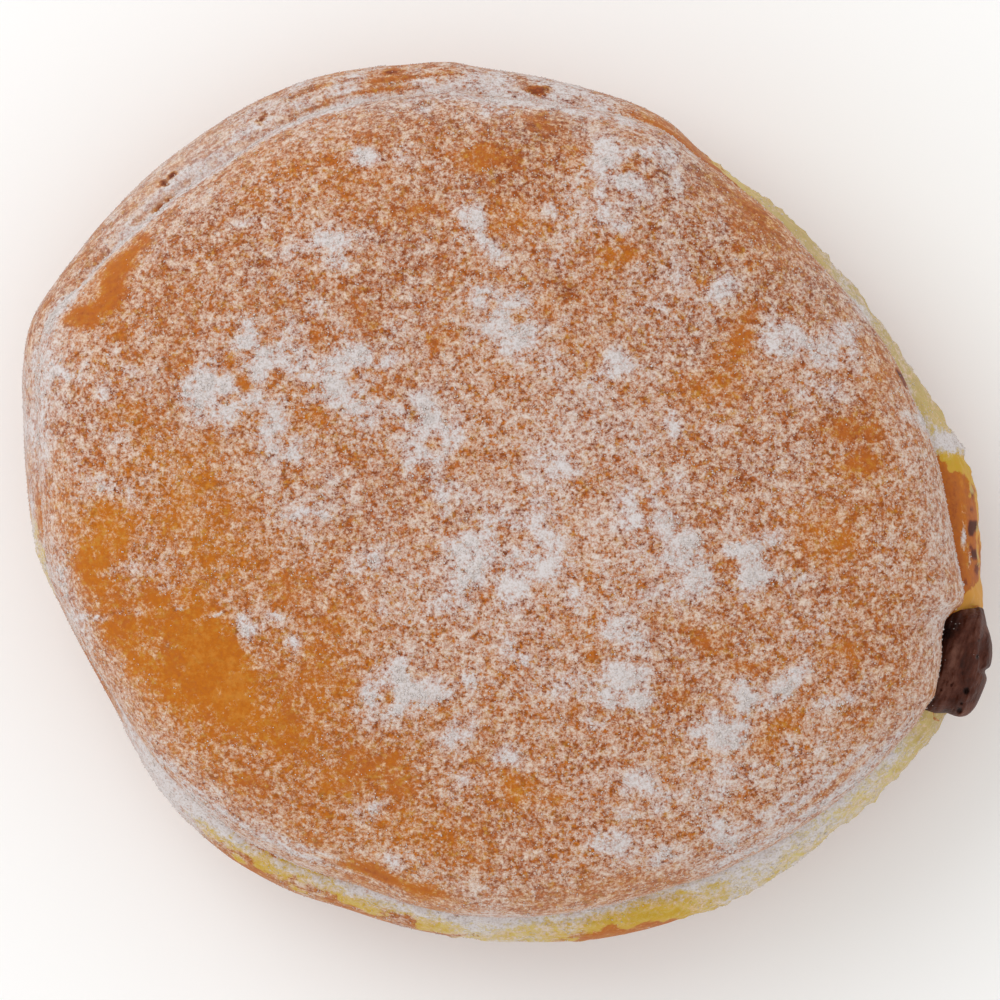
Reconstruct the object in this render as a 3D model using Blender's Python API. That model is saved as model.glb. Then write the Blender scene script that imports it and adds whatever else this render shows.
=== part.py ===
"""A round filled doughnut, as two closed solids: the dough and the cream inside it.

The dough is a flattened, slightly oval ball that lies on a small flat spot. Its broad top
crust ends in a rolled edge. Below that edge runs a crease, then a soft collar that sticks out
further than the top crust, and then the round lower crust. A pocket of chocolate cream lies in
the middle, with a neck to the hole in the collar, where a blob of the cream has come out.

Sizes are in millimetres and are turned into metres when a mesh is made. Angles are measured
from +X towards +Y, seen from above.
"""

import math

import bmesh
import bpy
import numpy as np

METRES_PER_MM = 0.001

# Heights above the surface that the doughnut lies on.
HEIGHT = 38.0
TOP_EDGE_HEIGHT = 25.0
CREASE_HEIGHT = 21.8
COLLAR_HEIGHT = 15.0

# The outline from above: angle in degrees, radius of the collar, and how far inside it the
# top crust's edge lies. The shape runs smoothly from each station to the next.
OUTLINE_STATIONS = (
    (0, 46.5, 3.0), (20, 41.9, 1.0), (40, 39.8, 1.0), (60, 39.5, 0.7), (70, 41.0, 1.4),
    (80, 41.4, 2.1), (120, 45.7, 3.6), (130, 46.3, 3.7), (150, 47.7, 2.5), (160, 48.8, 1.5),
    (170, 46.9, 1.4), (180, 45.9, 1.3), (195, 43.4, 0.4), (240, 42.9, 2.7), (250, 42.0, 2.6),
    (260, 42.1, 2.3), (300, 44.4, 3.2), (310, 45.0, 2.6), (340, 48.0, 2.2), (350, 47.5, 2.3),
)

# How square the profile is: 2 is an ellipse, and more is flatter on top and steeper at the side.
TOP_SQUARENESS = 2.6
LOWER_SQUARENESS = 2.2
# The crease under the top crust's edge: its least depth, the share of the collar's ledge that
# deepens it, and how far the edge rolls under before the collar begins.
CREASE_DEPTH = 0.4
CREASE_DEEPENING = 0.22
ROLL_END_ANGLE = math.radians(72)
REST_RADIUS = 23.0

# Slow swells of the top crust: height, wavelength, direction in degrees and phase in degrees.
TOP_SWELLS = ((0.45, 46.0, 20, 40), (0.35, 33.0, 105, 200), (0.30, 27.0, 65, 310))

# The crease rises and falls twice on its way round.
CREASE_SWELL = 0.7
CREASE_SWELL_PHASE = 1.0

# The cream: the direction of its hole, the height of its axis in the pocket, how far the axis
# rises towards the blob, and the gap that the dough keeps to it.
HOLE_ANGLE = math.radians(341)
CREAM_HEIGHT = 17.6
BLOB_RISE = 1.2
GAP = 0.3
PART_BLEND = 5.0

COLUMNS = 96
TOP_RINGS = 14
ROLL_RINGS = 3
COLLAR_RINGS = 4
LOWER_RINGS = 9
CREAM_COLUMNS = 32

CRUST_COLOUR = "#C1803F"
CREAM_COLOUR = "#40231A"


class CreamPart:
    """One swelling of the cream along the line from the middle to the hole."""

    def __init__(self, middle, half_length, half_width, half_height, squareness=2.0):
        self.middle = middle
        self.half_length = half_length
        self.half_width = half_width
        self.half_height = half_height
        self.squareness = squareness

    def grown(self, margin):
        """Return the same swelling, larger by margin all round."""
        return CreamPart(
            self.middle,
            self.half_length + margin,
            self.half_width + margin,
            self.half_height + margin,
            self.squareness,
        )

    def share(self, distance):
        """Return how much of its full width the swelling has at each distance, 0 outside it."""
        reach = np.clip(np.abs(distance - self.middle) / self.half_length, 0.0, 1.0)
        return (1.0 - reach ** self.squareness) ** (1.0 / self.squareness)


POCKET = CreamPart(middle=2.0, half_length=21.0, half_width=19.0, half_height=6.5)
NECK = CreamPart(middle=24.0, half_length=25.0, half_width=3.6, half_height=3.0, squareness=8.0)
BLOB = CreamPart(middle=46.9, half_length=3.4, half_width=5.5, half_height=4.4, squareness=3.0)


def clear_scene():
    """Remove every object, so that the script starts from an empty scene."""
    for old in list(bpy.data.objects):
        bpy.data.objects.remove(old, do_unlink=True)


def linear_colour(hex_code):
    """Return a "#RRGGBB" colour as the linear RGBA that Blender's sockets take."""
    channels = [int(hex_code[i:i + 2], 16) / 255 for i in (1, 3, 5)]
    linear = [c / 12.92 if c <= 0.04045 else ((c + 0.055) / 1.055) ** 2.4 for c in channels]
    return (*linear, 1.0)


def principled(name, hex_code, roughness):
    """Return a new material with one Principled BSDF."""
    material = bpy.data.materials.new(name)
    material.use_nodes = True
    shader = material.node_tree.nodes["Principled BSDF"]
    shader.inputs["Base Color"].default_value = linear_colour(hex_code)
    shader.inputs["Roughness"].default_value = roughness
    shader.inputs["Metallic"].default_value = 0.0
    return material


def around(stations, column, angles):
    """Return one column of the stations at each angle, on a smooth closed curve.

    Each stretch is a cubic that leaves and meets its stations at the slope of the parabola
    through the station and its two neighbours.
    """
    places = np.array([station[0] for station in stations], dtype=float)
    values = np.array([station[column] for station in stations], dtype=float)
    steps = (np.roll(places, -1) - places) % 360.0
    rises = (np.roll(values, -1) - values) / steps
    steps_before = np.roll(steps, 1)
    slopes = (np.roll(rises, 1) * steps + rises * steps_before) / (steps + steps_before)

    degrees = np.degrees(angles) % 360.0
    start = np.searchsorted(places, degrees, side="right") - 1
    end = (start + 1) % len(places)
    step = steps[start]
    way = ((degrees - places[start]) % 360.0) / step
    return (
        (2 * way**3 - 3 * way**2 + 1) * values[start]
        + (way**3 - 2 * way**2 + way) * step * slopes[start]
        + (3 * way**2 - 2 * way**3) * values[end]
        + (way**3 - way**2) * step * slopes[end]
    )


def top_swell(x, y):
    """Return the slow rise and fall of the top crust at plan points x, y."""
    total = np.zeros_like(x)
    for height, wavelength, direction, phase in TOP_SWELLS:
        turn = math.radians(direction)
        along = x * math.cos(turn) + y * math.sin(turn)
        total += height * np.sin(2 * math.pi * along / wavelength + math.radians(phase))
    return total


def dough_rings(angles):
    """Return the rings of the dough from near its top to the rim of its flat spot.

    Each ring is a pair of arrays, its radii and its heights at the given angles.
    """
    collar = around(OUTLINE_STATIONS, 1, angles)
    ledge = around(OUTLINE_STATIONS, 2, angles)
    top_edge = collar - ledge
    crease_height = CREASE_HEIGHT + CREASE_SWELL * np.sin(2 * angles + CREASE_SWELL_PHASE)
    crease_depth = CREASE_DEPTH + CREASE_DEEPENING * ledge
    rings = []

    for turn in np.linspace(0.0, math.pi / 2, TOP_RINGS + 1)[1:]:
        radius = top_edge * math.sin(turn) ** (2 / TOP_SQUARENESS)
        rise = abs(math.cos(turn)) ** (2 / TOP_SQUARENESS)
        swell = top_swell(radius * np.cos(angles), radius * np.sin(angles)) * rise
        rings.append((radius, TOP_EDGE_HEIGHT + (HEIGHT - TOP_EDGE_HEIGHT) * rise + swell))

    for turn in np.linspace(0.0, ROLL_END_ANGLE, ROLL_RINGS + 1)[1:]:
        inward = (1 - math.cos(turn)) / (1 - math.cos(ROLL_END_ANGLE))
        down = math.sin(turn) / math.sin(ROLL_END_ANGLE)
        height = TOP_EDGE_HEIGHT + (crease_height - TOP_EDGE_HEIGHT) * down
        rings.append((top_edge - crease_depth * inward, height))
    crease_radius = top_edge - crease_depth

    for turn in np.linspace(0.0, math.pi / 2, COLLAR_RINGS + 1)[1:]:
        radius = crease_radius + (collar - crease_radius) * math.sin(turn)
        rings.append((radius, COLLAR_HEIGHT + (crease_height - COLLAR_HEIGHT) * math.cos(turn)))

    for turn in np.linspace(0.0, math.pi / 2, LOWER_RINGS + 1)[1:]:
        out = abs(math.cos(turn)) ** (2 / LOWER_SQUARENESS)
        down = math.sin(turn) ** (2 / LOWER_SQUARENESS)
        radius = REST_RADIUS + (collar - REST_RADIUS) * out
        rings.append((radius, np.full_like(radius, COLLAR_HEIGHT * (1 - down))))
    return rings


def mesh_from_rings(name, rings, first_pole=None, last_pole=None):
    """Return a closed mesh through rings of points, each end a pole or one flat face.

    Args:
        name: the mesh's name.
        rings: lists of the same number of (x, y, z) points in millimetres.
        first_pole: a point that closes the first ring, or None for a flat face.
        last_pole: the same for the last ring.
    """
    shape = bmesh.new()
    loops = [[shape.verts.new([c * METRES_PER_MM for c in point]) for point in ring] for ring in rings]
    for upper, lower in zip(loops, loops[1:]):
        for i, corner in enumerate(upper):
            after = (i + 1) % len(upper)
            shape.faces.new((corner, lower[i], lower[after], upper[after]))
    for loop, pole in ((loops[0], first_pole), (loops[-1], last_pole)):
        if pole is None:
            shape.faces.new(loop)
            continue
        tip = shape.verts.new([c * METRES_PER_MM for c in pole])
        for i, corner in enumerate(loop):
            shape.faces.new((corner, loop[(i + 1) % len(loop)], tip))
    bmesh.ops.recalc_face_normals(shape, faces=shape.faces)
    mesh = bpy.data.meshes.new(name)
    shape.to_mesh(mesh)
    shape.free()
    mesh.shade_smooth()
    return mesh


def dough_mesh():
    """Return the dough before its pocket is cut."""
    angles = np.linspace(0.0, 2 * math.pi, COLUMNS, endpoint=False)
    rings = []
    for radius, height in dough_rings(angles):
        rings.append(np.column_stack((radius * np.cos(angles), radius * np.sin(angles), height)))
    origin = np.zeros(1)
    top = (0.0, 0.0, HEIGHT + float(top_swell(origin, origin)[0]))
    return mesh_from_rings("dough", rings, first_pole=top)


def cream_axis_point(distance):
    """Return the point of the cream's axis at a distance from the middle towards the hole."""
    way = min(max((distance - POCKET.middle) / (BLOB.middle - POCKET.middle), 0.0), 1.0)
    rise = BLOB_RISE * way * way * (3 - 2 * way)
    return np.array((
        distance * math.cos(HOLE_ANGLE), distance * math.sin(HOLE_ANGLE), CREAM_HEIGHT + rise
    ))


def cream_distances(parts):
    """Return where the cream has a ring, along its axis, closest together at rounded ends."""
    pocket, neck, blob = parts
    in_pocket = pocket.middle - pocket.half_length * np.cos(np.linspace(0.0, math.pi, 15)[1:-1])
    in_blob = blob.middle - blob.half_length * np.cos(np.linspace(0.0, math.pi, 12)[:-1])
    pocket_end = pocket.middle + pocket.half_length
    in_neck = np.linspace(pocket_end, in_blob[0], 6)[:-1]
    return np.concatenate((in_pocket, in_neck, in_blob))


def cream_mesh(name, parts):
    """Return the pocket, neck and blob of cream as one smooth closed mesh."""
    pocket, neck, blob = parts
    distances = cream_distances(parts)
    width = np.zeros_like(distances)
    height = np.zeros_like(distances)
    for part in parts:
        width += (part.half_width * part.share(distances)) ** PART_BLEND
        height += (part.half_height * part.share(distances)) ** PART_BLEND
    width **= 1 / PART_BLEND
    height **= 1 / PART_BLEND

    across = np.array((-math.sin(HOLE_ANGLE), math.cos(HOLE_ANGLE), 0.0))
    up = np.array((0.0, 0.0, 1.0))
    turns = np.linspace(0.0, 2 * math.pi, CREAM_COLUMNS, endpoint=False)
    rings = []
    for distance, half_width, half_height in zip(distances, width, height):
        middle = cream_axis_point(distance)
        ring = [
            middle + half_width * math.cos(turn) * across + half_height * math.sin(turn) * up
            for turn in turns
        ]
        rings.append(ring)
    inner_tip = cream_axis_point(pocket.middle - pocket.half_length)
    outer_tip = cream_axis_point(blob.middle + blob.half_length)
    return mesh_from_rings(name, rings, first_pole=inner_tip, last_pole=outer_tip)


def add_object(name, mesh, material=None):
    """Link a new object with the mesh and, if given, its material."""
    thing = bpy.data.objects.new(name, mesh)
    bpy.context.scene.collection.objects.link(thing)
    if material is not None:
        mesh.materials.append(material)
    return thing


def centre_over_origin(things, measured):
    """Move all the things alike, so that the measured ones' plan box is centred on the origin."""
    points = np.array([vertex.co for thing in measured for vertex in thing.data.vertices])
    middle = (points.min(axis=0) + points.max(axis=0)) / 2
    for thing in things:
        thing.location = (-middle[0], -middle[1], 0.0)


def cut(thing, cutter):
    """Take the cutter's shape out of the thing, and hide the cutter."""
    boolean = thing.modifiers.new("pocket", "BOOLEAN")
    boolean.operation = "DIFFERENCE"
    boolean.object = cutter
    boolean.solver = "EXACT"
    cutter.hide_render = True
    cutter.display_type = "WIRE"


def main():
    """Build the doughnut."""
    clear_scene()
    cream_parts = (POCKET, NECK, BLOB)
    room_parts = tuple(part.grown(GAP) for part in cream_parts)

    dough = add_object("dough", dough_mesh(), principled("fried_dough", CRUST_COLOUR, 0.75))
    filling = add_object(
        "filling", cream_mesh("filling", cream_parts), principled("chocolate_cream", CREAM_COLOUR, 0.35)
    )
    cutter = add_object("filling_room", cream_mesh("filling_room", room_parts))
    centre_over_origin((dough, filling, cutter), measured=(dough, filling))
    cut(dough, cutter)


main()
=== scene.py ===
"""The looks of a chocolate-filled doughnut under a dusting of icing sugar.

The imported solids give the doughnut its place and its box. Each visible piece is built here
again at full detail, from the doughnut's own sizes in millimetres, and rides on the one body.
Directions are angles in degrees from +X towards +Y, seen from above.
"""

import logging
import math
from dataclasses import dataclass, field
from enum import Enum

import bpy
import numpy as np
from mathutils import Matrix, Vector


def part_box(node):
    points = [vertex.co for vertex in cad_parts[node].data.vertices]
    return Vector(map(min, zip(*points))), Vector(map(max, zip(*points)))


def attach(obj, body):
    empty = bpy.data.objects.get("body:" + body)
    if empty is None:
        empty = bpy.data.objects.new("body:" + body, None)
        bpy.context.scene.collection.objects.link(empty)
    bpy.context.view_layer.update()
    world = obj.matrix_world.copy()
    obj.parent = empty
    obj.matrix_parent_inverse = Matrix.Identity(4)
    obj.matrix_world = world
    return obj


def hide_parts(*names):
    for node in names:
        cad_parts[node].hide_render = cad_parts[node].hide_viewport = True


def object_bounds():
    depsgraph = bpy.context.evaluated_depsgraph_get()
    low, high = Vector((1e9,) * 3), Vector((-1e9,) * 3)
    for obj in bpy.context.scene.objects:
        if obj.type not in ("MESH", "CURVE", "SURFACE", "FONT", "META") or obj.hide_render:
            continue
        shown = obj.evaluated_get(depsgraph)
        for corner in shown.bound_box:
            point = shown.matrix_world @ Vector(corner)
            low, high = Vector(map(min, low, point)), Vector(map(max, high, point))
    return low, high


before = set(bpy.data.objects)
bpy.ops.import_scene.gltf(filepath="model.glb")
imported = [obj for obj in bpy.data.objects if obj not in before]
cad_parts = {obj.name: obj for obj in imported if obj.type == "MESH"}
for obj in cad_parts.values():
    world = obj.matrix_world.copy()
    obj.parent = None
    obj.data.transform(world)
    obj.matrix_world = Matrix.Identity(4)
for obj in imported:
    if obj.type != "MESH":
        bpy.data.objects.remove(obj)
CAD_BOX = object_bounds()

LOG = logging.getLogger("doughnut")
MM = 0.001
BODY = "root"

Tree = bpy.types.NodeTree
Node = bpy.types.Node
Socket = bpy.types.NodeSocket
Parts = dict[str, Node | Socket]  # what a finish is mixed from, by name


# ---------------------------------------------------------------- small helpers


def linear(hex_code: str) -> tuple[float, float, float, float]:
    """Turn an sRGB colour into the linear RGBA that shader sockets take.

    Args:
        hex_code: the colour as "#RRGGBB".

    Returns:
        Linear red, green and blue, with an alpha of 1.
    """
    channels = [int(hex_code[i:i + 2], 16) / 255 for i in (1, 3, 5)]
    red, green, blue = (c / 12.92 if c <= 0.04045 else ((c + 0.055) / 1.055) ** 2.4 for c in channels)
    return red, green, blue, 1.0


def smoothstep(low: float, high: float, value: np.ndarray) -> np.ndarray:
    """Rise smoothly from 0 to 1 between two values.

    Args:
        low: where the rise starts.
        high: where it ends. It may lie below low, for a fall.
        value: the values to map.

    Returns:
        The share, from 0 to 1, of each value.
    """
    share = np.clip((value - low) / (high - low), 0.0, 1.0)
    return share * share * (3 - 2 * share)


def corner_value(corners: np.ndarray, seed: int) -> np.ndarray:
    """Give each whole-numbered corner of a grid its own random value.

    Args:
        corners: whole-numbered grid corners, one row of three each.
        seed: which set of values to use.

    Returns:
        A value from -1 to 1 for each corner.
    """
    x, y, z = (corners[:, axis].astype(np.uint32) for axis in range(3))
    mixed = x * np.uint32(73856093) ^ y * np.uint32(19349663) ^ z * np.uint32(83492791)
    mixed ^= np.uint32(seed * 2654435761 % 2**32)
    mixed ^= mixed >> np.uint32(13)
    mixed *= np.uint32(1274126177)
    mixed ^= mixed >> np.uint32(16)
    return (mixed & np.uint32(0xFFFF)).astype(float) / 32767.5 - 1.0


def noise(points: np.ndarray, wavelength: float, seed: int, layers: int = 1) -> np.ndarray:
    """Sample a smooth random field, the same on every run.

    Args:
        points: one row of x, y, z in millimetres for each sample.
        wavelength: size of the largest lumps in millimetres.
        seed: which field to use.
        layers: how many finer fields, each half as large and half as strong, are added.

    Returns:
        A value for each point, mostly from -1 to 1.
    """
    total = np.zeros(len(points))
    strength = 1.0
    for layer in range(layers):
        scaled = points * (2**layer / wavelength) + 100.0
        cell = np.floor(scaled)
        way = scaled - cell
        way = way * way * (3 - 2 * way)
        cell = cell.astype(np.int64)
        for corner in np.ndindex(2, 2, 2):
            weight = np.prod(np.where(corner, way, 1 - way), axis=1)
            total += strength * weight * corner_value(cell + np.array(corner), seed + layer)
        strength *= 0.5
    return total


def closed_curve(stations: tuple, name: str, angles: np.ndarray) -> np.ndarray:
    """Follow one value of the stations round the doughnut on a smooth closed curve.

    Each stretch is a cubic that leaves and meets its stations at the slope of the parabola
    through the station and its two neighbours.

    Args:
        stations: things with an angle in degrees, in rising order, and the named value.
        name: the value's field.
        angles: directions in radians.

    Returns:
        The value in each direction.
    """
    places = np.array([station.angle for station in stations], dtype=float)
    values = np.array([getattr(station, name) for station in stations], dtype=float)
    steps = (np.roll(places, -1) - places) % 360.0
    before = np.roll(steps, 1)
    degrees = np.degrees(angles) % 360.0
    start = np.searchsorted(places, degrees, side="right") - 1
    end = (start + 1) % len(places)
    step = steps[start]
    way = ((degrees - places[start]) % 360.0) / step
    rises = (np.roll(values, -1) - values) / steps
    slopes = (np.roll(rises, 1) * steps + rises * before) / (steps + before)
    return (
        (2 * way**3 - 3 * way**2 + 1) * values[start]
        + (way**3 - 2 * way**2 + way) * step * slopes[start]
        + (3 * way**2 - 2 * way**3) * values[end]
        + (way**3 - way**2) * step * slopes[end]
    )


def wire(tree: Tree, node: Node, settings: dict | None = None, links: dict | None = None) -> None:
    """Set up a node and link what feeds it.

    Args:
        tree: the node tree.
        node: the node.
        settings: node properties by lower-case name, and socket values by socket name or number.
        links: what feeds the node's sockets, by socket name or number: another node's socket,
            or the node itself for its first one.
    """
    for key, value in (settings or {}).items():
        if isinstance(key, str) and hasattr(node, key):
            setattr(node, key, value)
        else:
            node.inputs[key].default_value = value
    for key, source in (links or {}).items():
        tree.links.new(source.outputs[0] if isinstance(source, Node) else source, node.inputs[key])


def add_node(tree: Tree, kind: str, settings: dict | None = None, links: dict | None = None) -> Node:
    """Add a shader node with its settings and its incoming links.

    Args:
        tree: the node tree.
        kind: the node's Blender type name.
        settings: as wire takes them.
        links: as wire takes them.

    Returns:
        The new node.
    """
    node = tree.nodes.new(kind)
    wire(tree, node, settings, links)
    return node


def new_material(name: str) -> tuple[bpy.types.Material, Tree, Node]:
    """Make a material with only a Principled BSDF and an output.

    Args:
        name: the material's name.

    Returns:
        The material, its node tree and its Principled BSDF.
    """
    material = bpy.data.materials.new(name)
    material.use_nodes = True
    return material, material.node_tree, material.node_tree.nodes["Principled BSDF"]


def new_piece(
    name: str, vertices: np.ndarray, faces: list, values: dict[str, np.ndarray] | None = None
) -> bpy.types.Object:
    """Make a smooth mesh object from points in millimetres.

    Args:
        name: the piece's name.
        vertices: one row of x, y, z for each vertex.
        faces: the vertex numbers of each face.
        values: a number for each vertex, kept in the mesh under each name.

    Returns:
        The new piece, in the scene.
    """
    mesh = bpy.data.meshes.new(name)
    mesh.from_pydata((vertices * MM).tolist(), [], faces)
    for key, numbers in (values or {}).items():
        stored = mesh.attributes.new(key, "FLOAT", "POINT")
        stored.data.foreach_set("value", numbers.astype(np.float32))
    mesh.shade_smooth()
    mesh.update()
    piece = bpy.data.objects.new(name, mesh)
    bpy.context.scene.collection.objects.link(piece)
    return piece


# ---------------------------------------------------------------- shape of the dough


class Zone(Enum):
    """The stretches of the dough's profile, from the top to the flat spot."""

    TOP = 0
    ROLL = 1
    COLLAR = 2
    LOWER = 3


@dataclass(frozen=True)
class Station:
    """One direction in which the outline is given, with the shape running smoothly between."""

    angle: float
    collar: float
    ledge: float


@dataclass(frozen=True)
class DoughShape:
    """Sizes of the dough body, as in the solid, and its surface as rings of points.

    Sizes are in millimetres. A bulge has a direction, a reach in degrees and a height. The dent
    that the nozzle left has a row of directions and a row of how much wider the ledge is there.
    A swell of the top crust has a height, a wavelength, and a direction and phase in degrees.
    """

    height: float = 38.0
    top_edge_height: float = 25.0
    crease_height: float = 21.8
    collar_height: float = 15.0
    top_squareness: float = 2.6
    lower_squareness: float = 2.2
    crease_depth: float = 0.4
    crease_deepening: float = 0.22
    roll_end: float = math.radians(72)
    rest_radius: float = 23.0
    crease_swell: float = 0.7
    crease_swell_phase: float = 1.0
    bulges: tuple = (
        (6, 4, 0.2), (46, 4, 0.22), (65, 4, 0.36), (96.5, 3, 0.35), (130, 5, -0.15),
        (162, 3, -0.2), (178, 6, -0.34), (207, 8, -0.48), (240, 10, -0.15), (300, 4, 0.3),
        (309, 4, 0.18), (332, 2, 0.3), (348, 2.5, 0.35),
    )
    nozzle_dent: tuple = (
        (332.0, 335.0, 336.5, 338.2, 340.4, 343.0, 345.7, 346.8, 347.9, 349.5, 353.5),
        (0.0, -0.3, -0.5, -0.1, 0.25, 0.85, 1.0, 0.55, -0.3, -0.4, 0.0),
    )
    swells: tuple = ((0.45, 46.0, 20, 40), (0.35, 33.0, 105, 200), (0.30, 27.0, 65, 310))
    stations: tuple[Station, ...] = (
        Station(0, 46.5, 3.0), Station(20, 41.9, 1.0), Station(40, 39.8, 1.0),
        Station(60, 39.5, 0.7), Station(70, 41.0, 1.4), Station(80, 41.4, 2.1),
        Station(120, 45.7, 3.6), Station(130, 46.3, 3.7), Station(150, 47.7, 2.5),
        Station(160, 48.8, 1.5), Station(170, 46.9, 1.4), Station(180, 45.9, 1.3),
        Station(195, 43.4, 0.4), Station(240, 42.9, 2.7), Station(250, 42.0, 2.6),
        Station(260, 42.1, 2.3), Station(300, 44.4, 3.2), Station(310, 45.0, 2.6),
        Station(340, 48.0, 2.2), Station(350, 47.5, 2.3),
    )

    def outline(self, angles: np.ndarray) -> tuple[np.ndarray, np.ndarray]:
        """Give the collar's radius and the ledge's width in each direction.

        Args:
            angles: directions in radians.

        Returns:
            The radii of the collar and how far the top crust's edge lies inside them.
        """
        degrees = np.degrees(angles) % 360.0
        collar = closed_curve(self.stations, "collar", angles)
        for middle, reach, height in self.bulges:
            collar = collar + height * np.exp(-((degrees - middle) / reach) ** 2)
        ledge = closed_curve(self.stations, "ledge", angles)
        return collar, ledge + np.interp(degrees, *self.nozzle_dent)

    def swell(self, x: np.ndarray, y: np.ndarray) -> np.ndarray:
        """Return the slow rise and fall of the top crust at plan points."""
        total = np.zeros_like(x)
        for height, wavelength, direction, phase in self.swells:
            turn = math.radians(direction)
            along = x * math.cos(turn) + y * math.sin(turn)
            total = total + height * np.sin(2 * math.pi * along / wavelength + math.radians(phase))
        return total

    def ring(self, zone: Zone, turn: float, angles: np.ndarray) -> tuple[np.ndarray, np.ndarray]:
        """Give one ring of the surface.

        Args:
            zone: the stretch of the profile that the ring lies on.
            turn: how far along that stretch it lies, as the angle of its quarter curve.
            angles: directions in radians.

        Returns:
            The ring's radii and heights in millimetres.
        """
        collar, ledge = self.outline(angles)
        top_edge = collar - ledge
        crease_height = self.crease_height + self.crease_swell * np.sin(
            2 * angles + self.crease_swell_phase
        )
        crease_depth = self.crease_depth + self.crease_deepening * ledge
        crease_radius = top_edge - crease_depth
        if zone is Zone.TOP:
            radius = top_edge * math.sin(turn) ** (2 / self.top_squareness)
            rise = abs(math.cos(turn)) ** (2 / self.top_squareness)
            swell = self.swell(radius * np.cos(angles), radius * np.sin(angles)) * rise
            return radius, self.top_edge_height + (self.height - self.top_edge_height) * rise + swell
        if zone is Zone.ROLL:
            inward = (1 - math.cos(turn)) / (1 - math.cos(self.roll_end))
            down = math.sin(turn) / math.sin(self.roll_end)
            height = self.top_edge_height + (crease_height - self.top_edge_height) * down
            return top_edge - crease_depth * inward, height
        if zone is Zone.COLLAR:
            radius = crease_radius + (collar - crease_radius) * math.sin(turn)
            height = self.collar_height + (crease_height - self.collar_height) * math.cos(turn)
            return radius, height
        out = abs(math.cos(turn)) ** (2 / self.lower_squareness)
        down = math.sin(turn) ** (2 / self.lower_squareness)
        radius = self.rest_radius + (collar - self.rest_radius) * out
        return radius, np.full_like(radius, self.collar_height * (1 - down))

    def even_turns(self, zone: Zone, count: int) -> np.ndarray:
        """Space rings evenly along one stretch of the profile.

        Args:
            zone: the stretch.
            count: how many rings it gets, its end among them and its start not.

        Returns:
            The turn of each ring.
        """
        end = self.roll_end if zone is Zone.ROLL else math.pi / 2
        turns = np.linspace(0.0, end, 400)
        points = np.array([self.ring(zone, turn, np.zeros(1)) for turn in turns])[:, :, 0]
        lengths = np.concatenate(([0.0], np.cumsum(np.hypot(*np.diff(points, axis=0).T))))
        return np.interp(np.linspace(0.0, lengths[-1], count + 1)[1:], lengths, turns)


@dataclass
class DoughGrid:
    """The dough's surface as a grid of points in millimetres.

    Rows are rings from the top to the rim of the flat spot, and columns go round. The ledge
    share runs from 0 in the crease to 1 where the collar is widest. The distance from the
    edge runs down the profile from the rim of the top crust, and is negative on the crust.
    """

    points: np.ndarray
    angles: np.ndarray
    zones: np.ndarray
    ledge_share: np.ndarray
    from_edge: np.ndarray

    @classmethod
    def sample(cls, shape: DoughShape, columns: int, counts: dict[Zone, int]) -> "DoughGrid":
        """Lay the grid over a dough shape.

        Args:
            shape: the dough.
            columns: how many points each ring has.
            counts: how many rings each zone has.

        Returns:
            The grid.
        """
        angles = np.linspace(0.0, 2 * math.pi, columns, endpoint=False)
        rings, zones, shares = [], [], []
        for zone, count in counts.items():
            for turn in shape.even_turns(zone, count):
                radius, height = shape.ring(zone, float(turn), angles)
                rings.append(np.column_stack((radius * np.cos(angles), radius * np.sin(angles), height)))
                zones.append(zone.value)
                shares.append(math.sin(turn) if zone is Zone.COLLAR else float(zone is Zone.LOWER))
        points = np.array(rings)
        steps = np.linalg.norm(np.diff(points, axis=0), axis=2)
        run = np.vstack((np.zeros(columns), np.cumsum(steps, axis=0)))
        from_edge = run - run[counts[Zone.TOP] - 1]
        return cls(points, angles, np.array(zones), np.array(shares), from_edge)

    def normals(self) -> np.ndarray:
        """Return the outward unit normal at each point of the grid."""
        around = np.roll(self.points, -1, axis=1) - np.roll(self.points, 1, axis=1)
        down = np.gradient(self.points, axis=0)
        normal = np.cross(down, around)
        return normal / np.linalg.norm(normal, axis=2, keepdims=True)


# ---------------------------------------------------------------- sugar and browning

EDGE_REACH = 1.2  # how far out, in a patch's own terms, its drawn edge lies
STRIPE_FADE = 0.6  # share of a stripe's width over which it fades


@dataclass(frozen=True)
class Patch:
    """An oval place on the crust where the dusting or the browning differs.

    Sizes are in millimetres and the turn is in degrees. It reaches straight down, so one on a
    steep wall is given the level of its middle too.
    """

    x: float
    y: float
    length: float
    width: float
    turn: float = 0.0
    sugar: float = 0.0
    brown: float = 0.0
    softness: float = 0.95
    level: float | None = None

    def share(self, x: np.ndarray, y: np.ndarray, spread: float = 1.0) -> np.ndarray:
        """Return how strongly the patch acts at plan points, 1 at its middle.

        Args:
            x: how far right of the middle of the doughnut each point lies.
            y: how far behind it each point lies.
            spread: how many times its own size the patch is taken to be.

        Returns:
            A number from 0 to 1 for each point.
        """
        turn = math.radians(self.turn)
        along = (x - self.x) * math.cos(turn) + (y - self.y) * math.sin(turn)
        across = (y - self.y) * math.cos(turn) - (x - self.x) * math.sin(turn)
        reach = np.hypot(2 * along / self.length, 2 * across / self.width)
        return smoothstep(1 + self.softness, 1 - self.softness, EDGE_REACH * reach / spread)

    def upright_share(self, height: np.ndarray) -> np.ndarray | float:
        """Return how strongly the patch acts at each height, everywhere alike without a level."""
        if self.level is None:
            return 1.0
        return np.exp(-((height - self.level) / (STRIPE_FADE * self.width)) ** 2)


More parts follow.
